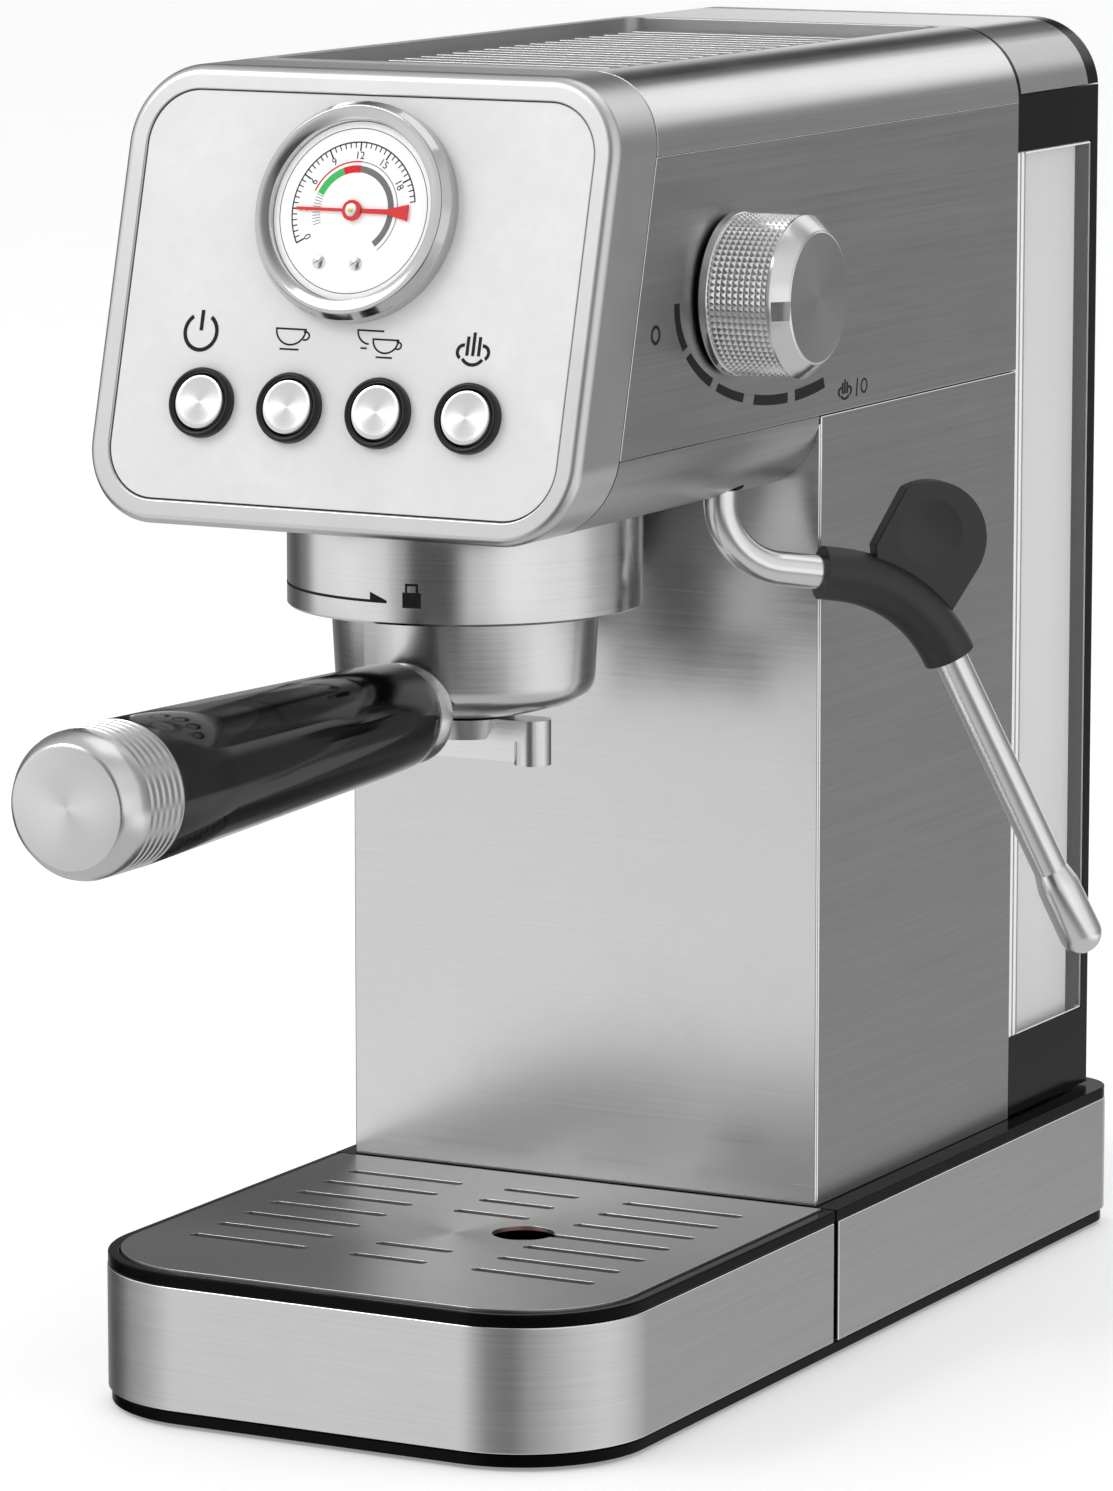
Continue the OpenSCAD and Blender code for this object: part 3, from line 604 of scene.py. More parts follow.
# The dial white glows faintly (emission 0.12): painted light that lifts the dial out of the ring's shade.
dial_white = moulded("dial_white", (0.93, 0.93, 0.93), 0.55, Emission_Strength=0.12)
black_gloss = moulded("black_gloss", (0.003, 0.003, 0.003), 0.12, marks=0.10, Specular_IOR_Level=0.14)
handle_black = moulded(
    "handle_black", (0.002, 0.002, 0.002), 0.07, marks=0.05, Specular_IOR_Level=0.3, Coat_Weight=0.3,
    Coat_Roughness=0.03)
base_black = moulded("base_black", (0.002, 0.002, 0.002), 0.14, marks=0.08, Specular_IOR_Level=0.05)
black_matte = moulded("black_matte", (0.016, 0.016, 0.016), 0.38, 2600, 0.012)
black_rubber = moulded("black_rubber", (0.014, 0.014, 0.014), 0.72, 1800, 0.03)
ring_black = moulded("ring_black", (0.008, 0.008, 0.008), 0.28, Specular_IOR_Level=0.35)
inner_plastic = moulded("inner_plastic", (0.06, 0.06, 0.058), 0.5, 2200, 0.02)
gasket_red = moulded("gasket_red", (0.30, 0.08, 0.05), 0.6)
float_red = moulded("float_red", (0.45, 0.03, 0.02), 0.4, 2400, 0.01)
milky_hose = moulded("milky_hose", (0.72, 0.73, 0.73), 0.4, Subsurface_Weight=0.2)
board_green = moulded("board_green", (0.03, 0.16, 0.07), 0.3)
pump_cover = moulded("pump_cover", (0.55, 0.45, 0.22), 0.5, 2000, 0.02)
needle_red = moulded("needle_red", (0.72, 0.012, 0.012), 0.35, marks=0.04)
ink_black = printed_ink("ink_black", (0.006, 0.006, 0.006))
ink_red = printed_ink("ink_red", (0.70, 0.01, 0.02))
ink_green = printed_ink("ink_green", (0.05, 0.50, 0.12))
ink_grey = printed_ink("ink_grey", (0.17, 0.17, 0.17))
tank_clear = clear_plastic("tank_clear", (0.985, 0.987, 0.987), 1.35)
lid_grey = moulded(
    "lid_grey", (0.36, 0.36, 0.365), 0.10, marks=0.05, Metallic=0.5, Coat_Weight=1.0, Coat_Roughness=0.03)
# A hazy white finish for the tank's edge strips paints the highlight lines. The grey-tinted one below paints
# the shade lines between them.
tank_painted_highlight = clear_plastic("tank_painted_highlight", (0.97, 0.97, 0.97), 1.6, haze=0.75)
tank_shade = clear_plastic("tank_shade", (0.45, 0.45, 0.45), 1.5, haze=0.2)
gauge_clear = clear_plastic("gauge_clear", (0.995, 0.995, 0.995), 1.12)
print(len(bpy.data.materials), "finishes")


# %% [markdown]
# ## The studio
# The camera stands in front of the machine, to its right and a little above it, with a long lens that
# keeps the upright edges nearly parallel. A pale floor runs out to the horizon. Steel shows only what it
# mirrors, so the room round it matters more than the lamps: a sky of soft light and dark bands stands in
# for the white walls and black screens of a product studio. There are three rings of bands: one at eye
# level, one below it and one above. Only mirrored rays see them. All other rays see plain white, so the
# plastics are lit evenly.

# %% Camera, floor, lamps and sky
LENS, SENSOR_WIDTH = 170.2, 36
CAMERA_PLACE, CAMERA_DOWN, CAMERA_ROUND = (0.78918, -1.53616, 0.42293), 9.24, 27.82


def build_camera():
    lens = bpy.data.cameras.new("camera")
    lens.lens, lens.sensor_width = LENS, SENSOR_WIDTH
    lens.clip_end = 60
    camera = bpy.data.objects.new("camera", lens)
    bpy.context.collection.objects.link(camera)
    camera.location = CAMERA_PLACE
    camera.rotation_euler = (math.radians(90 - CAMERA_DOWN), 0, math.radians(CAMERA_ROUND))
    bpy.context.scene.camera = camera
    return camera


def build_floor():
    work_on(None)
    bpy.ops.mesh.primitive_plane_add(size=40)
    floor = bpy.context.object
    floor.name = floor.data.name = "studio_floor"
    paint, tree, shader, place = finish("floor_paint", (0.86, 0.86, 0.86), 0.6)
    tone = noise(tree, place, 3.0)
    link(tree, tinted(tree, tone, (0.85, 0.85, 0.85), (0.87, 0.87, 0.87)), shader.inputs["Base Color"])
    shader.inputs["Emission Color"].default_value = (1, 1, 1, 1)
    shader.inputs["Emission Strength"].default_value = 0.26
    floor.data.materials.append(paint)
    floor.visible_glossy = False
    return floor


def build_lamp(name, place, target, size, power):
    lamp = bpy.data.lights.new(name, "AREA")
    lamp.shape, lamp.size, lamp.size_y, lamp.energy = "RECTANGLE", size[0], size[1], power
    made = bpy.data.objects.new(name, lamp)
    bpy.context.collection.objects.link(made)
    made.location = place
    made.rotation_mode = "QUATERNION"
    made.rotation_quaternion = (Vector(target) - Vector(place)).to_track_quat("-Z", "Y")
    return made


# Each step: compass angle from the front towards the machine's right side, and brightness.
LEVEL_BANDS = [
    (-180, 0.80), (-158, 0.85), (-146, 0.30), (-112, 0.10), (-96, 0.25), (-80, 0.95), (-52, 1.05),
    (-27, 0.92), (-14, 0.50), (-4, 0.10), (18, 0.10), (34, 0.75), (60, 1.10), (100, 0.95), (128, 0.45),
    (150, 0.24), (168, 0.34), (180, 0.80)]
LOW_BANDS = [
    (-180, 0.60), (-158, 0.75), (-140, 0.50), (-125, 0.20), (-112, 0.04), (-90, 0.02), (-76, 0.07),
    (-60, 0.20), (-44, 0.65), (-32, 1.20), (-26, 1.20), (-14, 0.72), (-2, 0.34), (18, 0.16), (40, 0.20),
    (58, 0.36), (78, 0.82), (96, 1.10), (122, 1.10), (140, 0.88), (154, 0.58), (164, 0.50), (180, 0.60)]
HIGH_BANDS = [
    (-180, 1.05), (-177, 0.60), (-171, 0.12), (-163, 0.04), (-152, 0.06), (-130, 0.22), (-96, 0.60),
    (-70, 0.95), (-28, 0.88), (0, 0.30), (20, 0.20), (50, 0.90), (110, 0.80), (135, 0.40), (149, 0.36),
    (157, 0.75), (165, 1.10), (180, 1.05)]


def band_colours(tree, turn, bands):
    """Colour ramp round the compass."""
    node = tree.nodes.new("ShaderNodeValToRGB")
    node.color_ramp.interpolation = "EASE"
    ramp = node.color_ramp.elements
    while len(ramp) < len(bands):
        ramp.new(0.5)
    for stop, (angle, level) in zip(ramp, bands):
        stop.position = (angle + 180) / 360
        stop.color = (level, level, level, 1)
    link(tree, turn, node.inputs["Fac"])
    return node.outputs["Color"]


def faded(tree, height, low, high, below, above):
    """Goes from one colour to another as the height passes from low to high."""
    share = tree.nodes.new("ShaderNodeMapRange")
    share.interpolation_type = "SMOOTHSTEP"
    share.inputs["From Min"].default_value = low
    share.inputs["From Max"].default_value = high
    link(tree, height, share.inputs["Value"])
    mix = tree.nodes.new("ShaderNodeMix")
    mix.data_type = "RGBA"
    link(tree, share.outputs["Result"], mix.inputs["Factor"])
    for socket, value in (("A", below), ("B", above)):
        if isinstance(value, float):
            mix.inputs[socket].default_value = (value, value, value, 1)
        else:
            link(tree, value, mix.inputs[socket])
    return mix.outputs["Result"]


# The heights between which one ring of bands fades into the next, and the even light past the last ones.
FLOOR_FADE, LOW_FADE, HIGH_FADE, TOP_FADE = (-0.60, -0.32), (-0.235, -0.165), (0.16, 0.30), (0.60, 0.90)
EVEN_LIGHT = 0.62


def build_sky():
    world = bpy.data.worlds.new("studio_sky")
    bpy.context.scene.world = world
    world.use_nodes = True
    tree = world.node_tree
    plain = tree.nodes["Background"]
    plain.inputs["Color"].default_value = (1, 1, 1, 1)
    plain.inputs["Strength"].default_value = 0.88
    direction = tree.nodes.new("ShaderNodeTexCoord").outputs["Generated"]
    split = tree.nodes.new("ShaderNodeSeparateXYZ")
    link(tree, direction, split.inputs[0])
    turn = maths(tree, "ARCTAN2", split.outputs["X"], maths(tree, "MULTIPLY", split.outputs["Y"], -1.0))
    turn = maths(tree, "ADD", maths(tree, "DIVIDE", turn, 2 * math.pi), 0.5)
    height = split.outputs["Z"]
    lower = faded(tree, height, *FLOOR_FADE, EVEN_LIGHT, band_colours(tree, turn, LOW_BANDS))
    level = faded(tree, height, *LOW_FADE, lower, band_colours(tree, turn, LEVEL_BANDS))
    upper = faded(tree, height, *HIGH_FADE, level, band_colours(tree, turn, HIGH_BANDS))
    seen = tree.nodes.new("ShaderNodeBackground")
    link(tree, faded(tree, height, *TOP_FADE, upper, EVEN_LIGHT), seen.inputs["Color"])
    choice = tree.nodes.new("ShaderNodeMixShader")
    link(tree, tree.nodes.new("ShaderNodeLightPath").outputs["Is Glossy Ray"], choice.inputs[0])
    link(tree, plain.outputs[0], choice.inputs[1])
    link(tree, seen.outputs[0], choice.inputs[2])
    link(tree, choice.outputs[0], tree.nodes["World Output"].inputs["Surface"])


bpy.context.scene.view_settings.view_transform = "Standard"
build_camera()
build_floor()
build_lamp("key_lamp", (-1.3, -1.5, 1.9), (0, 0, 0.15), (1.2, 0.9), 16)
build_lamp("top_lamp", (0.2, 0.3, 1.9), (0, 0, 0.2), (1.2, 1.2), 3)
build_sky()
print("camera looks from", [round(v, 3) for v in bpy.context.scene.camera.location])

# %% [markdown]
# ## The base
# The base is a flat box with big round corners. A steel band wraps it in two pieces, one on the sliding
# drip tray and one on the fixed housing. A band is the outline of a block with its top and bottom taken
# off, and the Solidify modifier then gives the sheet its thickness. Its rolled edges get a brighter,
# smoother steel: partly the polished cut edge of brushed sheet, partly a painted highlight line.

# %% Bands, tray and housing
base_low, base_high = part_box("tray_band")[0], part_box("rear_band")[1]
FRONT_CORNER, REAR_CORNER, SHEET = 32.4 * MM, 12 * MM, 0.8 * MM


def base_form(name, inset, low_z, high_z):
    made = block(name, (base_low.x + inset, base_low.y + inset, low_z),
                 (base_high.x - inset, base_high.y - inset, high_z))
    back = base_high.y - inset - 1 * MM
    round_edges(made, lambda e: along(Z)(e) and middle(e).y < 0, FRONT_CORNER - inset, 24)
    return round_edges(made, lambda e: along(Z)(e) and middle(e).y > back, REAR_CORNER - inset, 16)


def base_band(name, node, front):
    low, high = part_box(node)
    made = base_form(name, 0, low.z, high.z)
    end_y = high.y if front else low.y
    sliced(made, (0, end_y, 0), Y if front else -Y, fill=False)
    drop_faces(made, lambda face: abs(face.normal.z) > 0.9)
    applied(made, "SOLIDIFY", thickness=SHEET, offset=-1.0)
    return rolled(made, 0.28 * MM, edge_finish=True)


tray_front = base_band("front_band", "tray_band", True)
dress(tray_front, "tray", "brushed_steel", [band_steel, bright_edge_highlight], "tray_band")
base_sides = base_band("side_and_rear_band", "rear_band", False)
dress(base_sides, "machine", "brushed_steel", [band_steel, bright_edge_highlight], "rear_band")
softened("drip_tray", "tray_moulding", 0.5, "tray", "black_gloss", base_black)
softened("base_housing", "housing_moulding", 0.5, "machine", "black_gloss", base_black)
softened("base_pan", "bottom_pan", 0.4, "machine", "black_gloss", base_black)
softened("rubber_feet", "round_feet", 0.35, "machine", "rubber_black", black_rubber)
softened("cord_gland", "lead_gland", 0.6, "machine", "black_matte", black_matte)

# %% [markdown]
# The drip grid is pressed sheet, so every slot has a soft lip that catches light. It is a merged copy of
# the CAD plate, whose slots are already right, with all its rims rolled. The red float stands in its own
# hole.

# %% Grid and float
# The rolled rims of the slots take the brighter edge steel: a painted highlight along each lip.
softened("drip_grid", "slotted_grid", 0.32, "grid", "brushed_steel", [grid_steel, bright_edge_highlight],
         edge_finish=True)
softened("tray_float", "red_float", 0.7, "float", "float_red", float_red)

# %% [markdown]
# ## Column and head
# The column and the head are folded sheet steel. Their shapes are flat or bent one way only, so the CAD
# shapes are right as they stand. What they lack are the folded edges. Each skin is a merged copy with a
# rolled rim, and the rims of two skins that meet make the fine bright seam lines.

# %% Steel skins
# The sides and the belly take the darker steel as painted shade, and the roof takes the lighter steel as
# painted light.
SKINS = [
    ("column_front", "column_front_skin", front_steel),
    ("column_side_left", "column_left_skin", shaded_side_steel),
    ("column_side_right", "column_right_skin", shaded_side_steel),
    ("head_belly", "head_lower_skin", shaded_side_steel),
    ("head_side_left", "head_left_skin", shaded_side_steel),
    ("head_side_right", "head_right_skin", shaded_side_steel),
    ("head_roof", "head_roof_skin", lit_roof_steel)]
# Each rolled rim takes the brighter edge steel, which paints the fine bright seam lines as highlights.
for node, name, steel in SKINS:
    softened(node, name, 0.35, "machine", "brushed_steel", [steel, bright_edge_highlight], edge_finish=True)
softened("rear_cover", "back_cover", 0.4, "machine", "black_matte", black_matte)
softened("cup_tray", "cup_warmer_plate", 0.5, "machine", "satin_steel", warmer_steel)

# %% [markdown]
# ## The sloped face
# A thick silver frame holds the white panel. Light runs round its outer edge, so that edge gets a large
# round of its own: the edges wanted are those in the front plane whose side wall looks away from the
# middle. The panel lies loose in it and leaves a fine dark gap all round.

# %% Bezel and panel
bezel_low, bezel_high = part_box("front_bezel")
bezel_middle = (bezel_low + bezel_high) / 2
bezel_corners = frame["nodes"]["front_bezel"].data.vertices
front_most = max((Vector(v.co) - FACE.translation).dot(face_out) for v in bezel_corners)


def outer_front_edge(edge):
    in_front = all((v.co - FACE.translation).dot(face_out) > front_most - 0.05 * MM for v in edge.verts)
    outside = any(abs(f.normal.dot(face_out)) < 0.4 and f.normal.dot(middle(edge) - bezel_middle) > 0
                  for f in edge.link_faces)
    return in_front and outside


bezel = round_edges(from_frame("front_bezel", "bezel_frame"), outer_front_edge, 2.4 * MM, 6)
dress(rolled(bezel, 0.35 * MM), "machine", "bezel_silver", bezel_silver, "front_bezel")
softened("front_panel", "key_panel", 0.3, "machine", "panel_white", panel_white)

# %% [markdown]
# ## Printing
# Scales and icons are screen printed. A print is a real film here, a few hundredths of a millimetre
# thick, so it keeps its sharp edge at any distance and goes out with the mesh. Three marks are enough for
# all of it: a line is a thin block, a ring is a circle that is extruded inwards and trimmed to its part
# of the turn, and a figure is a text object that is made a mesh. A print is drawn flat and then set on
# its surface.

# %% Marks: lines, rings and figures
FILM = 0.04 * MM


def print_line(start, end, width):
    """Thin block of some width along a line."""
    start, end = Vector(start), Vector(end)
    run = end - start
    made = block("line", (0, -width / 2 * MM, 0), (run.length * MM, width / 2 * MM, FILM))
    place = Matrix.Translation((start.x * MM, start.y * MM, 0))
    return settled(made, place @ Matrix.Rotation(math.atan2(run.y, run.x), 4, "Z"))


def print_ring(radius, width, start=0, end=360, centre=(0, 0), squash=1.0):
    """Part of a ring, counter-clockwise from start to end in degrees. A squashed one is an ellipse."""
    work_on(None)
    bpy.ops.mesh.primitive_circle_add(vertices=180, radius=(radius + width / 2) * MM)
    made = bpy.context.object
    bpy.ops.object.mode_set(mode="EDIT")
    bpy.ops.mesh.select_all(action="SELECT")
    bpy.ops.transform.resize(value=(1, squash, 1), center_override=(0, 0, 0))
    bpy.ops.mesh.extrude_edges_move(TRANSFORM_OT_translate={"value": (0, 0, 0)})
    shrink = [1 - width / (radius * k + width / 2) for k in (1, squash)]
    bpy.ops.transform.resize(value=(*shrink, 1), center_override=(0, 0, 0))
    bpy.ops.object.mode_set(mode="OBJECT")

    def outside(face):
        spot = face.calc_center_median()
        turn = math.degrees(math.atan2(spot.y / squash, spot.x))
        return (turn - start) % 360 > end - start

    drop_faces(made, outside)
    choose(made, "FACE", lambda face: True)
    bpy.ops.mesh.normals_make_consistent(inside=False)
    bpy.ops.mesh.extrude_region_move(TRANSFORM_OT_translate={"value": (0, 0, FILM)})
    bpy.ops.mesh.select_all(action="SELECT")
    bpy.ops.mesh.normals_make_consistent(inside=False)
    bpy.ops.object.mode_set(mode="OBJECT")
    return settled(made, Matrix.Translation((centre[0] * MM, centre[1] * MM, 0)))


def print_figure(text, height, centre, turn=0.0):
    """Number in the plain built-in face, centred on a spot."""
    work_on(None)
    bpy.ops.object.text_add()
    made = bpy.context.object
    made.data.body, made.data.size = text, height * MM * 1.4
    made.data.align_x, made.data.align_y = "CENTER", "CENTER"
    made.data.extrude = FILM / 2
    bpy.ops.object.convert(target="MESH")
    made = bpy.context.object
    place = Matrix.Translation((centre[0] * MM, centre[1] * MM, FILM / 2))
    return settled(made, place @ Matrix.Rotation(math.radians(turn), 4, "Z"))


def printed(name, marks, ink, place, body="machine", slot="black_matte"):
    return dress(settled(joined(name, marks), place), body, slot, ink)


def at_turn(radius, degrees):
    return radius * math.cos(math.radians(degrees)), radius * math.sin(math.radians(degrees))


# %% [markdown]
# ## The pressure gauge
# The gauge is a polished ring pressed into the panel, a white printed dial, a red needle and a clear
# disc. The ring is turned: a circle is carried round the outline of the ring's section, as a lathe tool
# would go.

# %% Gauge ring, dial and glass
def ring_profile(points):
    return [(radius * MM, height * MM) for radius, height in points]


gauge_outline = [(21.3, -0.3), (25.5, -0.3), (25.5, 3.3), (24.1, 5.3), (22.6, 5.3), (20.8, 4.6), (20.8, 0.9),
                 (21.3, 0.9)]
gauge_ring = turned("gauge_ring_turned", ring_profile(gauge_outline), FACE, hollow=True, steps=144)
dress(rolled(gauge_ring, 0.5 * MM, 4), "machine", "polished_steel", ring_steel, "gauge_ring")

DIAL_TOP = 2.8 * MM
dial = turned("gauge_dial_plate", ring_profile([(1.1, 2.1), (20.7, 2.1), (20.7, 2.8), (1.1, 2.8)]), FACE,
              hollow=True, steps=96)
# The dial takes the faintly glowing white: painted light.
dress(rolled(dial, 0.1 * MM, 2), "machine", "dial_white", dial_white, "gauge_dial")
glass = turned("gauge_crystal", ring_profile(
    [(20.7, 4.15), (20.7, 4.6), (20.3, 4.8), (14, 5.05), (7, 5.17), (0.1, 5.2)]), FACE, steps=96)
dress(smoothed(glass), "machine", "gauge_glass", gauge_clear, "gauge_glass")
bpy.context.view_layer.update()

# %% [markdown]
# The scale runs clockwise from 0 at the lower left, ten degrees of turn to one unit of pressure. Ticks,
# figures and coloured bands are all placed by that one rule.

# %% Gauge printing
DEGREES_PER_UNIT, ZERO_AT, LAST_UNIT = 10, 210, 20
DIAL_FACE = FACE @ Matrix.Translation((0, 0, DIAL_TOP + 0.01 * MM))


def scale_angle(units):
    return ZERO_AT - DEGREES_PER_UNIT * units


def tick(units):
    length, width = (2.2, 0.36) if units % 3 == 0 else (1.4, 0.26)
    angle = scale_angle(units)
    return print_line(at_turn(16, angle), at_turn(16 - length, angle), width)


marks = [tick(units / 2) for units in range(2 * LAST_UNIT + 1)]
marks += [print_ring(19.1, 0.16), print_ring(15.9, 0.32, scale_angle(LAST_UNIT), ZERO_AT)]
marks += [print_figure(str(units), 1.8, at_turn(12.75, scale_angle(units)), scale_angle(units) - 90)
          for units in range(0, 19, 3)]
printed("dial_scale", marks, ink_black, DIAL_FACE)
BAND_RADIUS, LINE_RADIUS = 9.7, 11.4
GREEN_START, RED_START, GREY_START, GREY_END = 157, 113, 86, -50
printed("dial_green", [print_ring(BAND_RADIUS, 1.7, RED_START, GREEN_START)], ink_green, DIAL_FACE)
marks = [print_ring(BAND_RADIUS, 1.7, GREY_START, RED_START)]
marks += [print_ring(LINE_RADIUS, 0.35, GREY_START, GREEN_START)]
printed("dial_red", marks, ink_red, DIAL_FACE)
marks = [print_ring(BAND_RADIUS, 1.5, GREY_END, GREY_START)]
marks += [print_ring(LINE_RADIUS, 0.2, GREY_END, GREY_START)]
marks += [print_line(at_turn(8.6, a), at_turn(10.6, a), 0.16) for a in range(160, 202, 4)]
printed("dial_grey", marks, ink_grey, DIAL_FACE)

# %% [markdown]
# Two small domed screws hold the dial. The needle is a thin pressed arrow with a silver boss over its
# spindle. The CAD needle already has the arrow's outline, so its copy only needs its edges softened. The
# boss is turned.

# %% Dial screws and needle
def domed_screw(name, spot):
    dome = [(1.6, 2.75), (1.6, 3.1), (1.35, 3.45), (0.8, 3.65), (0.1, 3.7)]
    head = turned(name, ring_profile(dome), steps=40)
    slit = block("slit", (-1.7 * MM, -0.16 * MM, 3.4 * MM), (1.7 * MM, 0.16 * MM, 4 * MM))
    settled(slit, Matrix.Rotation(math.radians(35), 4, "Z"))
    cut(head, slit)
    return settled(head, FACE @ Matrix.Translation((spot[0] * MM, spot[1] * MM, 0)))


screws = joined("dial_screws", [domed_screw("screw", (-7.3, -12.1)), domed_screw("screw", (2.3, -12.1))])
dress(rolled(screws, 0.06 * MM, 2), "machine", "polished_steel", polished_steel)
softened("gauge_needle", "red_needle", 0.09, "needle", "needle_red", needle_red, segments=2)
boss_outline = [(1.5, 3.85), (1.5, 4.0), (1.2, 4.08), (0.75, 4.1)]
boss = turned("needle_boss", ring_profile(boss_outline), FACE, steps=40)
dress(smoothed(boss), "needle", "polished_steel", satin_silver)
pin = turned("needle_pin", ring_profile([(0.7, 4.0), (0.7, 4.09), (0.4, 4.13), (0.05, 4.14)]), FACE, steps=32)
dress(smoothed(pin), "needle", "brass_part", brass)

# %% [markdown]
# ## The four keys
# Each key is a spun aluminium cap in a black ring. Spinning leaves fine circles, and those draw every
# highlight out into a bow tie. The Principled shader makes that with Anisotropic, when its Tangent runs
# round the cap. The tangent is worked out from the Object coordinates: the axis crossed with the way from
# the cap's centre. The four caps are evenly spaced, so the centre is found by folding X into one pitch.

# %% Spun finish
KEY_PITCH, KEY_ROW = 23.2 * MM, -45.7 * MM


def spun_metal(name, level, axis, centre, pitch=None, roughness=0.30, blur=0.75):
    made, tree, shader, place = finish(name, grey(level), roughness, 1.0, Anisotropic=blur)
    arm = tree.nodes.new("ShaderNodeVectorMath")
    arm.operation = "SUBTRACT"
    link(tree, place, arm.inputs[0])
    arm.inputs[1].default_value = centre
    arm = arm.outputs[0]
    if pitch:
        split = tree.nodes.new("ShaderNodeSeparateXYZ")
        link(tree, arm, split.inputs[0])
        share = maths(tree, "FRACT", maths(tree, "DIVIDE", split.outputs["X"], pitch))
        folded = maths(tree, "SUBTRACT", share, 0.5)
        build = tree.nodes.new("ShaderNodeCombineXYZ")
        link(tree, maths(tree, "MULTIPLY", folded, pitch), build.inputs["X"])
        link(tree, split.outputs["Y"], build.inputs["Y"])
        link(tree, split.outputs["Z"], build.inputs["Z"])
        arm = build.outputs[0]
    cross = tree.nodes.new("ShaderNodeVectorMath")
    cross.operation = "CROSS_PRODUCT"
    cross.inputs[0].default_value = axis
    link(tree, arm, cross.inputs[1])
    link(tree, cross.outputs[0], shader.inputs["Tangent"])
    reach = tree.nodes.new("ShaderNodeVectorMath")
    reach.operation = "LENGTH"
    link(tree, cross.outputs[0], reach.inputs[0])
    rings = tree.nodes.new("ShaderNodeTexNoise")
    rings.noise_dimensions = "1D"
    rings.inputs["Scale"].default_value = 4200
    link(tree, reach.outputs["Value"], rings.inputs["W"])
    link(tree, tinted(tree, rings.outputs["Fac"], grey(level * 0.94), grey(min(1, level * 1.05))),
         shader.inputs["Base Color"])
    gloss = between(tree, rings.outputs["Fac"], roughness - 0.04, roughness + 0.05)
    link(tree, gloss, shader.inputs["Roughness"])
    return made


key_cap_metal = spun_metal("key_cap_metal", 0.80, face_out, FACE @ Vector((0, KEY_ROW, 0)), KEY_PITCH)

# %% [markdown]
# A cap has a chamfered rim and a slightly hollow top, so that a fingertip finds it. It is turned once at
# the first place and copied along the row. The rings are turned the same way.

# %% Caps and rings
KEYS = ["power", "one_cup", "two_cup", "steam"]
CAP = ring_profile([(6.45, -3.6), (6.45, 1.35), (6.15, 1.85), (5.7, 1.95), (5.2, 1.9), (4, 1.84), (2, 1.8),
                    (0.1, 1.8)])
RING = ring_profile([(7.6, -0.3), (8.15, -0.3), (8.15, 1.3), (7.9, 1.95), (7.5, 2.1), (7.1, 2.0), (6.75, 1.6),
                     (6.75, -0.2), (7.6, -0.2)])


def key_place(index):
    return FACE @ Matrix.Translation(((index - 1.5) * KEY_PITCH, KEY_ROW, 0))


cap = turned("key_cap", CAP, steps=72)
ring = turned("key_ring", RING, hollow=True, steps=72)
rings = []
for index, key in enumerate(KEYS):
    made = settled(copy_of(cap, f"{key}_cap"), key_place(index))
    dress(smoothed(made, 24), f"{key}_key", "cap_steel", key_cap_metal, f"{key}_button")
    rings.append(settled(copy_of(ring, "key_ring_copy"), key_place(index)))
bpy.data.objects.remove(cap)
bpy.data.objects.remove(ring)
dress(smoothed(joined("key_rings", rings), 50), "machine", "black_gloss", ring_black, "button_rings")

# %% [markdown]
# The icons over the keys are generic signs: power, one cup, two cups and steam.

# %% Key icons
PANEL_FACE = FACE @ Matrix.Translation((0, 0, -0.28 * MM))
CUP_LINE = 0.42


def cup_icon(left, base, scale=1.0, whole=True):
    """Outline cup on a saucer line. One that isn't whole stops where another cup stands in front of it."""
    width, height = 7.7 * scale, 3.2 * scale
    middle_x, brim = left + width / 2, base + height * 1.25
    bowl = print_ring(width / 2, CUP_LINE, 180, 360 if whole else 268, (middle_x, brim), 0.95)
    rim = print_line((left - CUP_LINE / 2, brim), (left + width + CUP_LINE / 2, brim), CUP_LINE)
    saucer_end = middle_x + (2.5 if whole else -0.6) * scale
    saucer = print_line((middle_x - 2.5 * scale, base - 0.7), (saucer_end, base - 0.7), CUP_LINE)
    marks = [bowl, rim, saucer]
    if whole:
        ear = (left + width - 0.1, base + height * 0.8)
        marks.append(print_ring(1.15 * scale, CUP_LINE, -110, 110, ear, 0.85))
    return marks


def steam_icon(centre, scale=1.0, stroke=0.8):
    x, y = centre
    marks = [print_ring(3.0 * scale, stroke, 212, 328, (x, y - 0.2 * scale), 0.95)]
    marks += [print_ring(1.6 * scale, stroke, 85, 240, (x - 2.4 * scale, y - 0.2 * scale))]
    marks += [print_ring(1.6 * scale, stroke, -60, 95, (x + 2.4 * scale, y - 0.2 * scale))]
    for shift, top in ((-1.5, 3.4), (0, 4.4), (1.5, 3.4)):
        across = x + shift * scale
        marks.append(print_line((across, y - 1.0 * scale), (across, y + top * scale), stroke))
    return marks


def from_row(height):
    """Height above the lower edge of the face, as a height from the gauge's centre."""
    return height - 74.5


power = [print_ring(4.2, 0.95, 125, 415, (-37.8, from_row(45.3))),
         print_line((-37.8, from_row(45.6)), (-37.8, from_row(50.4)), 0.95)]
icons = power + cup_icon(-17.9, from_row(43.1)) + cup_icon(3.4, from_row(44.3), 0.85, whole=False)
icons += cup_icon(7.6, from_row(42.4), 0.85) + steam_icon((33.6, from_row(44.2)))
printed("key_icons", icons, ink_black, PANEL_FACE)

# %% [markdown]
# ## The steam knob
# The knob is a turned bar with a knurled grip. Knurling is small pyramids pressed in by two crossed
# wheels. On the model the grip is a grid of square faces round the knob, and the Poke operator raises a
# point in the middle of each, which is the same pyramid for four triangles. The rim on each side of it
# stays plain. A small notch is cut from the front edge. A thin black ring behind the knob is a painted
# shadow in the gap between the knob and the skin.

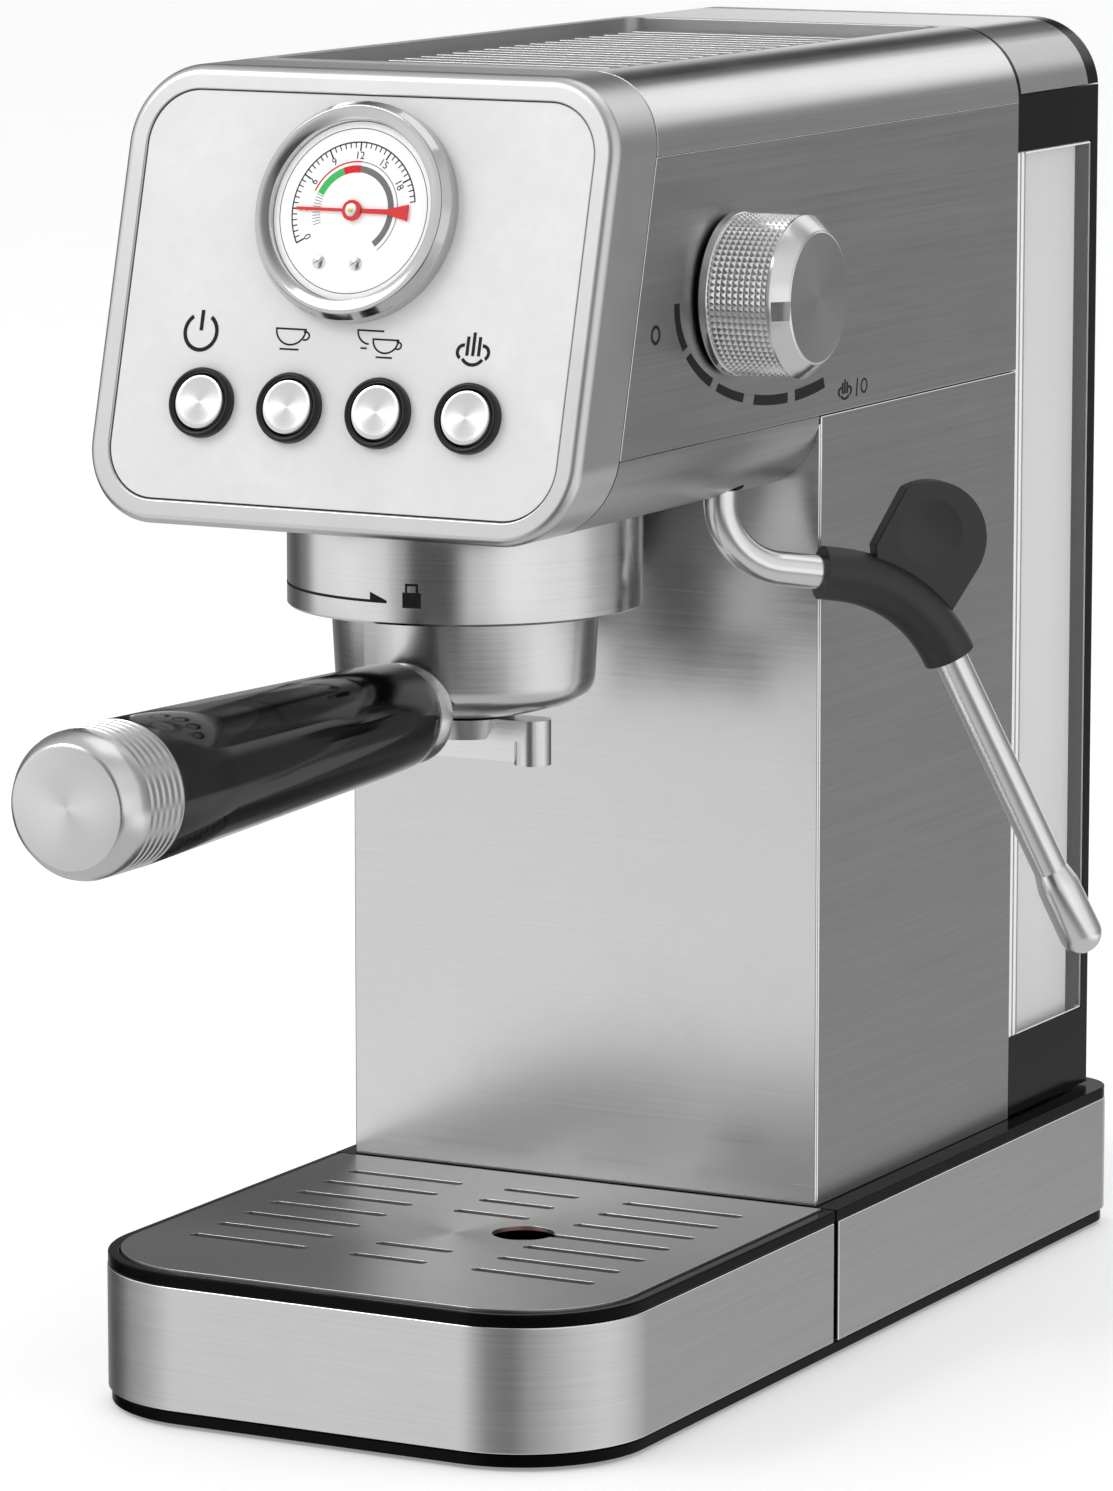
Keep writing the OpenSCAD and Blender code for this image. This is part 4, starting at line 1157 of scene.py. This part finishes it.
# %% Knurled knob
KNURLS, KNURL_ROWS, GRIP_RADIUS, KNURL_HEIGHT = 78, 10, 18.35, 0.62
GRIP_START, GRIP_END = 3.5, 18.2
ROW_PITCH = (GRIP_END - GRIP_START) / KNURL_ROWS
grip = [(GRIP_RADIUS, GRIP_START + ROW_PITCH * row) for row in range(KNURL_ROWS + 1)]
profile = [(10, 0.9), (18.5, 0.9), (19.0, 1.3), (19.0, 3.1), (18.8, 3.3)] + grip
profile += [(18.8, 18.4), (19.0, 18.6), (19.0, 19.2), (18.85, 19.45), (15.5, 22.65), (15.2, 22.75),
            (15.0, 22.9), (0.1, 22.9)]
knob = turned("knurled_knob", ring_profile(profile), KNOB, steps=KNURLS)


def on_grip(face):
    spot = KNOB.inverted() @ face.calc_center_median()
    return GRIP_START * MM < spot.z < GRIP_END * MM and abs((KNOB.inverted().to_3x3() @ face.normal).z) < 0.2


notch = settled(block("notch", (-22 * MM, -4.1 * MM, 19.6 * MM), (-15 * MM, 0.4 * MM, 30 * MM)), KNOB)
cut(knob, notch)
choose(knob, "FACE", on_grip)
bpy.ops.mesh.poke(offset=KNURL_HEIGHT * MM, center_mode="MEDIAN")
bpy.ops.object.mode_set(mode="OBJECT")
# The spun front face is set darker (0.46) than the knob's body (0.74): painted shade. Its fine rings are its
# own finish.
shaded_knob_front = spun_metal("shaded_knob_front", 0.46, X, knob_axis, roughness=0.34, blur=0.7)
with_finish(knob, 1, facing(X, 0.98))
dress(smoothed(knob, 20), "knob", "knob_silver", [knob_silver, shaded_knob_front], "steam_knob")
# A black ring in the gap behind the knob: a painted shadow.
painted_shadow_ring = turned("knob_shadow_ring", ring_profile([(10, 0.45), (18.2, 0.45), (18.2, 0.85), (10, 0.85)]), KNOB,
               hollow=True)
dress(rolled(painted_shadow_ring, 0.2 * MM), "knob", "black_gloss", ring_black)

# %% [markdown]
# Round the knob a scale of five dashes is printed on the side skin. It ends at the steam sign. The dashes
# are cut from one flat ellipse. A plain ring marks the closed end.

# %% Printed steam scale
SIDE_SKIN, ARC_MIDDLE_Y, ARC_MIDDLE_Z = 64.05 * MM, -45 * MM, 263 * MM
SIDE = working_frame(Vector((SIDE_SKIN + 0.01 * MM, ARC_MIDDLE_Y, ARC_MIDDLE_Z)), Y, X)
DASHES = [(179, 202, 2.6), (206.3, 224.5, 2.6), (228.5, 245.5, 2.3), (251, 269.2, 2.5), (273.3, 290.7, 2.8)]
ARC_REACH, ARC_SQUASH = 58, 27 / 58
marks = [print_ring(ARC_REACH, width, start, end, squash=ARC_SQUASH) for start, end, width in DASHES]
sign_place = Matrix.Translation((31.5 * MM, -27.9 * MM, 0)) @ Matrix.Diagonal((0.86, 0.62, 1, 1))
marks.append(settled(joined("sign", steam_icon((0, 0), stroke=0.95)), sign_place))
marks += [print_line((37.9, -29.8), (38.5, -25.4), 0.55), print_ring(1.6, 0.5, centre=(42.2, -27.6))]
marks += [print_ring(1.9, 0.8, centre=(-68.7, -5.3))]
printed("steam_scale", marks, ink_black, SIDE)

# %% [markdown]
# ## The brewing group and the portafilter
# The group's collar hangs under the head, and the portafilter's bowl locks into it. All of it is turned
# metal. A padlock and an arrow are printed round the collar. They are drawn on the collar itself: each
# mark is a block of thin shell between two angles and two heights.

# %% Collar and its print
COLLAR_RADIUS = 42.1
collar_outline = [(37.2, 188.9), (41.5, 188.9), (COLLAR_RADIUS, 189.5), (COLLAR_RADIUS, 212.0),
                  (41.9, 212.55), (37.2, 212.55)]
collar = turned("group_collar_turned", ring_profile(collar_outline), GROUP, hollow=True, steps=144)
dress(smoothed(collar, 25), "machine", "satin_steel", turned_steel, "group_collar")


def wrapped_mark(start, end, low, high, high_end=None):
    """Film on the collar between two angles, in degrees from the front to the right, and two heights."""
    high_end = high if high_end is None else high_end
    made = turned("mark", ring_profile([
        (COLLAR_RADIUS - 0.2, low), (COLLAR_RADIUS + 0.05, low), (COLLAR_RADIUS + 0.05, high),
        (COLLAR_RADIUS - 0.2, high)]), hollow=True, steps=360)
    for angle, side in ((start, -1), (end, 1)):
        edge_on = math.radians(angle)
        outwards = Vector((math.cos(edge_on), math.sin(edge_on), 0)) * side
        sliced(made, (0, 0, 0), outwards)
    ahead = math.radians((start + end) / 2)
    sliced(made, (0, 0, 0), (-math.sin(ahead), math.cos(ahead), 0))
    if high_end < high:
        at_start, at_end = (Vector((math.sin(math.radians(a)), -math.cos(math.radians(a)), 0))
                            * COLLAR_RADIUS * MM for a in (start, end))
        slope = (at_end + high_end * MM * Z) - (at_start + high * MM * Z)
        above = slope.cross(at_start + at_end).normalized()
        sliced(made, at_start + high * MM * Z, above if above.z > 0 else -above)
    return made


marks = [wrapped_mark(-60, 3, 193.95, 194.6), wrapped_mark(-3, 3, 194.5, 196.4, 194.6)]
marks += [wrapped_mark(8.4, 14.5, 193.1, 196.7), wrapped_mark(9.3, 10.1, 196.6, 198.4)]
marks += [wrapped_mark(12.8, 13.6, 196.6, 198.4), wrapped_mark(9.3, 13.6, 198.2, 198.8)]
printed("lock_marks", marks, ink_black, GROUP)

# %% [markdown]
# The bowl is turned in one piece. Its neck is a second turned piece at a right angle, and a Boolean union
# joins the two. The lugs that lock it, the basket and the screen inside keep their CAD shapes.

# %% Bowl and neck
FORWARD = working_frame(Vector((group_axis.x, group_axis.y, 166.4 * MM)), X, -Y)
bowl_outline = [
    (0.2, 162.4), (12, 162.8), (19, 164.2), (26, 166.2), (29.6, 168.4), (30.5, 170.0), (30.8, 172),
    (31.8, 191), (31.8, 205.2), (31.4, 205.8), (29.3, 205.8), (28.9, 205.4), (28.9, 173), (0.2, 173)]
bowl = turned("bowl_turned", ring_profile(bowl_outline), GROUP, steps=128)
neck = turned("neck", ring_profile([(8.0, 27), (8.0, 45), (7, 45.2), (7, 45.3)]), FORWARD, steps=64)
root = turned("neck_root", ring_profile([(12.2, 28.5), (12.2, 30.3), (11.9, 31.6), (11.6, 32.85), (8, 32.9)]),
              FORWARD, steps=64)
lug = from_frame("portafilter_bowl", "lugs")
LUG_FROM_RADIUS, LUG_FROM_HEIGHT = 31.75 * MM, 200.3 * MM


def inside_lugs(face):
    spot = face.calc_center_median()
    radius = math.hypot(spot.x - group_axis.x, spot.y - group_axis.y)
    return radius < LUG_FROM_RADIUS or spot.z < LUG_FROM_HEIGHT


drop_faces(lug, inside_lugs)
for part in (neck, root):
    applied(bowl, "BOOLEAN", operation="UNION", solver="EXACT", object=part)
    bpy.data.objects.remove(part)
bowl = joined("bowl_turned", [bowl, lug])
dress(smoothed(bowl, 30), "portafilter", "satin_steel", bowl_steel, "portafilter_bowl")
softened("portafilter_spout", "double_spout", 0.55, "portafilter", "satin_steel", turned_steel, segments=4)

# %% [markdown]
# The handle is black phenolic, polished until it mirrors the room. It swells slowly towards its end,
# where a silver cap with fine grooves closes it. Both are turned along the handle's own axis.

# %% Handle and cap
handle = turned("handle_grip", ring_profile(
    [(8.1, 33), (10.8, 33), (12.0, 33.8), (12.6, 35.6), (12.9, 39), (13.4, 52), (14.2, 78), (15.1, 106),
     (15.9, 132), (16.6, 156.6), (16.3, 157.2), (8.1, 157.2)]), FORWARD, hollow=True, steps=128)
dress(smoothed(handle, 40), "portafilter", "handle_black", handle_black, "portafilter_handle")
GROOVES, GROOVE_PITCH, GROOVE_DEPTH = 6, 2.5, 0.5
profile = [(8, 157.3), (16.35, 157.3), (16.6, 157.55)]
for groove in range(GROOVES):
    start = 157.9 + GROOVE_PITCH * groove
    profile += [(16.6, start), (16.6 - GROOVE_DEPTH, start + 0.35), (16.6 - GROOVE_DEPTH, start + 0.75),
                (16.6, start + 1.1)]
profile += [(16.6, 173.7), (16.2, 175.4), (14.4, 178.6), (13.8, 179.1), (13.4, 179.2), (0.1, 179.2)]
end_cap = turned("handle_end_cap", ring_profile(profile), FORWARD, steps=128)
cap_side = smooth_metal("cap_side", grey(0.70), 0.24)
cap_front = spun_metal("cap_front", 0.74, -Y, FORWARD.translation, roughness=0.36, blur=0.6)
with_finish(end_cap, 1, facing(-Y, 0.98))
dress(smoothed(end_cap, 28), "portafilter", "cap_steel", [cap_side, cap_front], "handle_cap")

# %% [markdown]
# ## The steam wand
# The wand is one polished tube with two bends. Spin carries the circle round each bend. The black sleeve
# is the grip: a fatter tube over the second bend, with a flat thumb paddle that stands up from it. The
# paddle is a disc and a wedge in the plane of the bends, dished on both sides for the thumb. A union
# joins it to the sleeve, and a bevel softens it.

# %% Tube, sleeve and tip
FIRST_BEND, SECOND_BEND = (82, 17 * MM), (-55.6, 36.6 * MM)
TOP, LEVEL_RUN, DROP, TIP = 212.5 * MM, 15.5 * MM, 83.6 * MM, 23 * MM
tube = bent_tube("wand_pipe", 4.1 * MM, (0, TOP + 2.5 * MM), -90,
                 [(0, 0, 2.5 * MM), (*FIRST_BEND, LEVEL_RUN), (*SECOND_BEND, DROP - TIP)], WAND, 48)
wand_steel = smooth_metal("wand_steel", grey(0.78), 0.17)
dress(smoothed(tube, 30), "wand", "polished_steel", wand_steel, "wand_tube")


def path_end(start, heading, legs):
    """Where a bent bar's middle line ends, and its heading there."""
    at, heading = Vector(start), math.radians(heading)
    for bend, radius, length in legs:
        turn = math.radians(bend)
        side = math.copysign(1, bend)
        centre = at + side * radius * Vector((-math.sin(heading), math.cos(heading)))
        heading += turn
        at = centre - side * radius * Vector((-math.sin(heading), math.cos(heading)))
        at += length * Vector((math.cos(heading), math.sin(heading)))
    return at, math.degrees(heading)


SLEEVE_RADIUS, SLEEVE_START, SLEEVE_END = 6.4 * MM, 10.7 * MM, 0.9 * MM
PADDLE_RADIUS, PADDLE_THICKNESS = 14.2 * MM, 4.8 * MM
PADDLE_MIDDLE = (52.4 * MM, 201.2 * MM)
sleeve_at, sleeve_heading = path_end((0, TOP), -90, [(*FIRST_BEND, SLEEVE_START)])
sleeve = bent_tube("wand_grip", SLEEVE_RADIUS, sleeve_at, sleeve_heading,
                   [(0, 0, LEVEL_RUN - SLEEVE_START), (*SECOND_BEND, SLEEVE_END)], steps=48)
upright = working_frame(Vector((PADDLE_MIDDLE[0], -PADDLE_THICKNESS / 2, PADDLE_MIDDLE[1])), X, -Y)
disc = turned("paddle", [(PADDLE_RADIUS, -PADDLE_THICKNESS), (PADDLE_RADIUS, 0)], upright, steps=72)
half = PADDLE_THICKNESS / 2
foot = block("paddle_foot", (38 * MM, -half, 187 * MM), (58.6 * MM, half, 190 * MM))
foot_place = Matrix.Translation((48 * MM, 0, 188 * MM))
settled(foot, foot_place @ Matrix.Rotation(math.radians(32), 4, "Y") @ foot_place.inverted())
paddle = joined("paddle", [disc, foot])
choose(paddle, "FACE", lambda face: True)
bpy.ops.mesh.convex_hull()
bpy.ops.mesh.dissolve_limited(angle_limit=math.radians(0.5))
bpy.ops.object.mode_set(mode="OBJECT")
sliced(paddle, (38.2 * MM, 0, 200.3 * MM), (-12.5, 0, 7.1))
dish = [(0.1, -1.15), (2.5, -1.1), (5, -0.9), (7.5, -0.5), (9.2, -0.05), (9.6, 0.5), (9.6, 5), (0.1, 5)]
for side in (1, -1):
    thumb_rest = turned("thumb_rest", ring_profile(dish), steps=72)
    dish_middle = Vector((PADDLE_MIDDLE[0], side * (half + 0.3 * MM), PADDLE_MIDDLE[1] + 1.8 * MM))
    cut(paddle, settled(thumb_rest, working_frame(dish_middle, X, side * Y)))
rolled(paddle, 0.8 * MM, 4)
applied(sleeve, "BOOLEAN", operation="UNION", solver="EXACT", object=paddle)
bpy.data.objects.remove(paddle)
settled(sleeve, WAND)
dress(rolled(sleeve, 0.5 * MM), "wand", "black_matte", black_matte, "wand_sleeve")

tip_at, tip_heading = path_end((0, TOP), -90, [(*FIRST_BEND, LEVEL_RUN), (*SECOND_BEND, 0)])
tip_heading = math.radians(tip_heading)
tip_out = Vector((math.cos(tip_heading), 0, math.sin(tip_heading)))
tip_frame = WAND @ working_frame(Vector((tip_at.x, 0, tip_at.y)), Y, tip_out)
TIP_RADIUS, NOZZLE_RADIUS, DROP_MM = 5.3, 0.9, DROP / MM
ball = [(TIP_RADIUS * math.cos(math.radians(a)), DROP_MM - TIP_RADIUS * (1 - math.sin(math.radians(a))))
        for a in range(0, 81, 8)]
tip = turned("wand_nozzle", ring_profile(
    [(4.1, DROP_MM - 23), (4.35, DROP_MM - 22.2), (4.75, DROP_MM - 20.2), (5.15, DROP_MM - 18.4)] + ball
    + [(NOZZLE_RADIUS, ball[-1][1]), (NOZZLE_RADIUS, DROP_MM - 3)]), tip_frame, steps=64)
dress(smoothed(tip, 40), "wand", "polished_steel", wand_steel, "wand_tip")

# %% [markdown]
# ## The water tank
# The tank is moulded clear plastic between a black foot, a black collar and a black back strip. The clear
# wall has its real thickness and rounded edges. On the real tank the bright lines are light caught in those
# edges. Here the upright lines along the front edge are painted: the rolled edges and two strips take a hazy
# white finish as painted highlight, and two strips between them a grey tint as painted shade. The lid is
# smoked and glossy.

# %% Tank, frame and lid
def scored(piece, places):
    """Cuts edges round a piece at these places along Y, so that its strips can differ in finish, as the
    tank's painted highlight and painted shade lines do.
    """
    for place in places:
        choose(piece, "FACE", lambda face: True)
        bpy.ops.mesh.bisect(plane_co=(0, place, 0), plane_no=Y)
    bpy.ops.object.mode_set(mode="OBJECT")


# Depths of the upright strips along the tank's front: painted highlight, painted shade, painted highlight,
# painted shade. The rolled edges take the painted highlight too.
PAINTED_LINES = (1.3 * MM, 2.2 * MM, 3.8 * MM, 4.7 * MM)
tank = rolled(from_frame("water_tank", "clear_tank"), 1.1 * MM, 4, edge_finish=True)
tank_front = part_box("water_tank")[0].y
scored(tank, [tank_front + depth for depth in PAINTED_LINES])


def on_line(index):
    """Test for the faces in one of the upright lines of painted highlight and painted shade along the tank's
    front edge.
    """
    near, far = (0, *PAINTED_LINES)[index], PAINTED_LINES[index]
    return lambda face: near < face.calc_center_median().y - tank_front < far


# Strips with an even index take the painted highlight, and the others take the painted shade.
for index in range(len(PAINTED_LINES)):
    with_finish(tank, 1 + index % 2, on_line(index))
dress(tank, "tank", "clear_tank", [tank_clear, tank_painted_highlight, tank_shade], "water_tank")
softened("tank_frame", "tank_black_frame", 0.5, "tank", "black_gloss", black_gloss)
lid = rolled(from_frame("tank_lid", "smoked_lid"), 0.9 * MM, 4)
lid_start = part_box("tank_lid")[0].y
# The lid's first 1.6 mm take black gloss as a painted shadow of the gap at the head's rear edge. Past 43.4 mm
# the lid is black gloss as well.
BLACK_FROM, BLACK_TO = 1.6 * MM, 43.4 * MM
scored(lid, [lid_start + BLACK_FROM, lid_start + BLACK_TO])
with_finish(lid, 1, lambda face: not BLACK_FROM < face.calc_center_median().y - lid_start < BLACK_TO)
dress(lid, "lid", "lid_grey", [lid_grey, black_gloss], "tank_lid")

# %% [markdown]
# ## Inside
# The pieces inside keep their CAD shapes. Each still gets its own finish, because they show when the
# tank, the tray or the portafilter is taken out, and in a cutaway.

# %% Finishes of the inner pieces
INNER = {
    "head_frame": inner_plastic, "gauge_case": inner_plastic, "control_board": board_green,
    "valve_spindle": brass, "steam_valve": brass, "group_head": cast_aluminium, "group_gasket": gasket_red,
    "shower_screen": turned_steel, "screen_screw": polished_steel, "boiler": cast_aluminium,
    "pump": pump_cover, "pump_mounts": black_rubber, "suction_hose": milky_hose, "pressure_hose": milky_hose,
    "steam_pipe": copper, "wand_nut": brass, "filter_basket": turned_steel, "tank_valve": inner_plastic,
    "tank_coupler": inner_plastic}
for node, inner_finish in INNER.items():
    for material_slot in frame["nodes"][node].material_slots:
        material_slot.material = inner_finish
shown = [node for node, piece in frame["nodes"].items() if not piece.hide_render]
print(len(shown), "CAD nodes stay as they are:", sorted(shown))
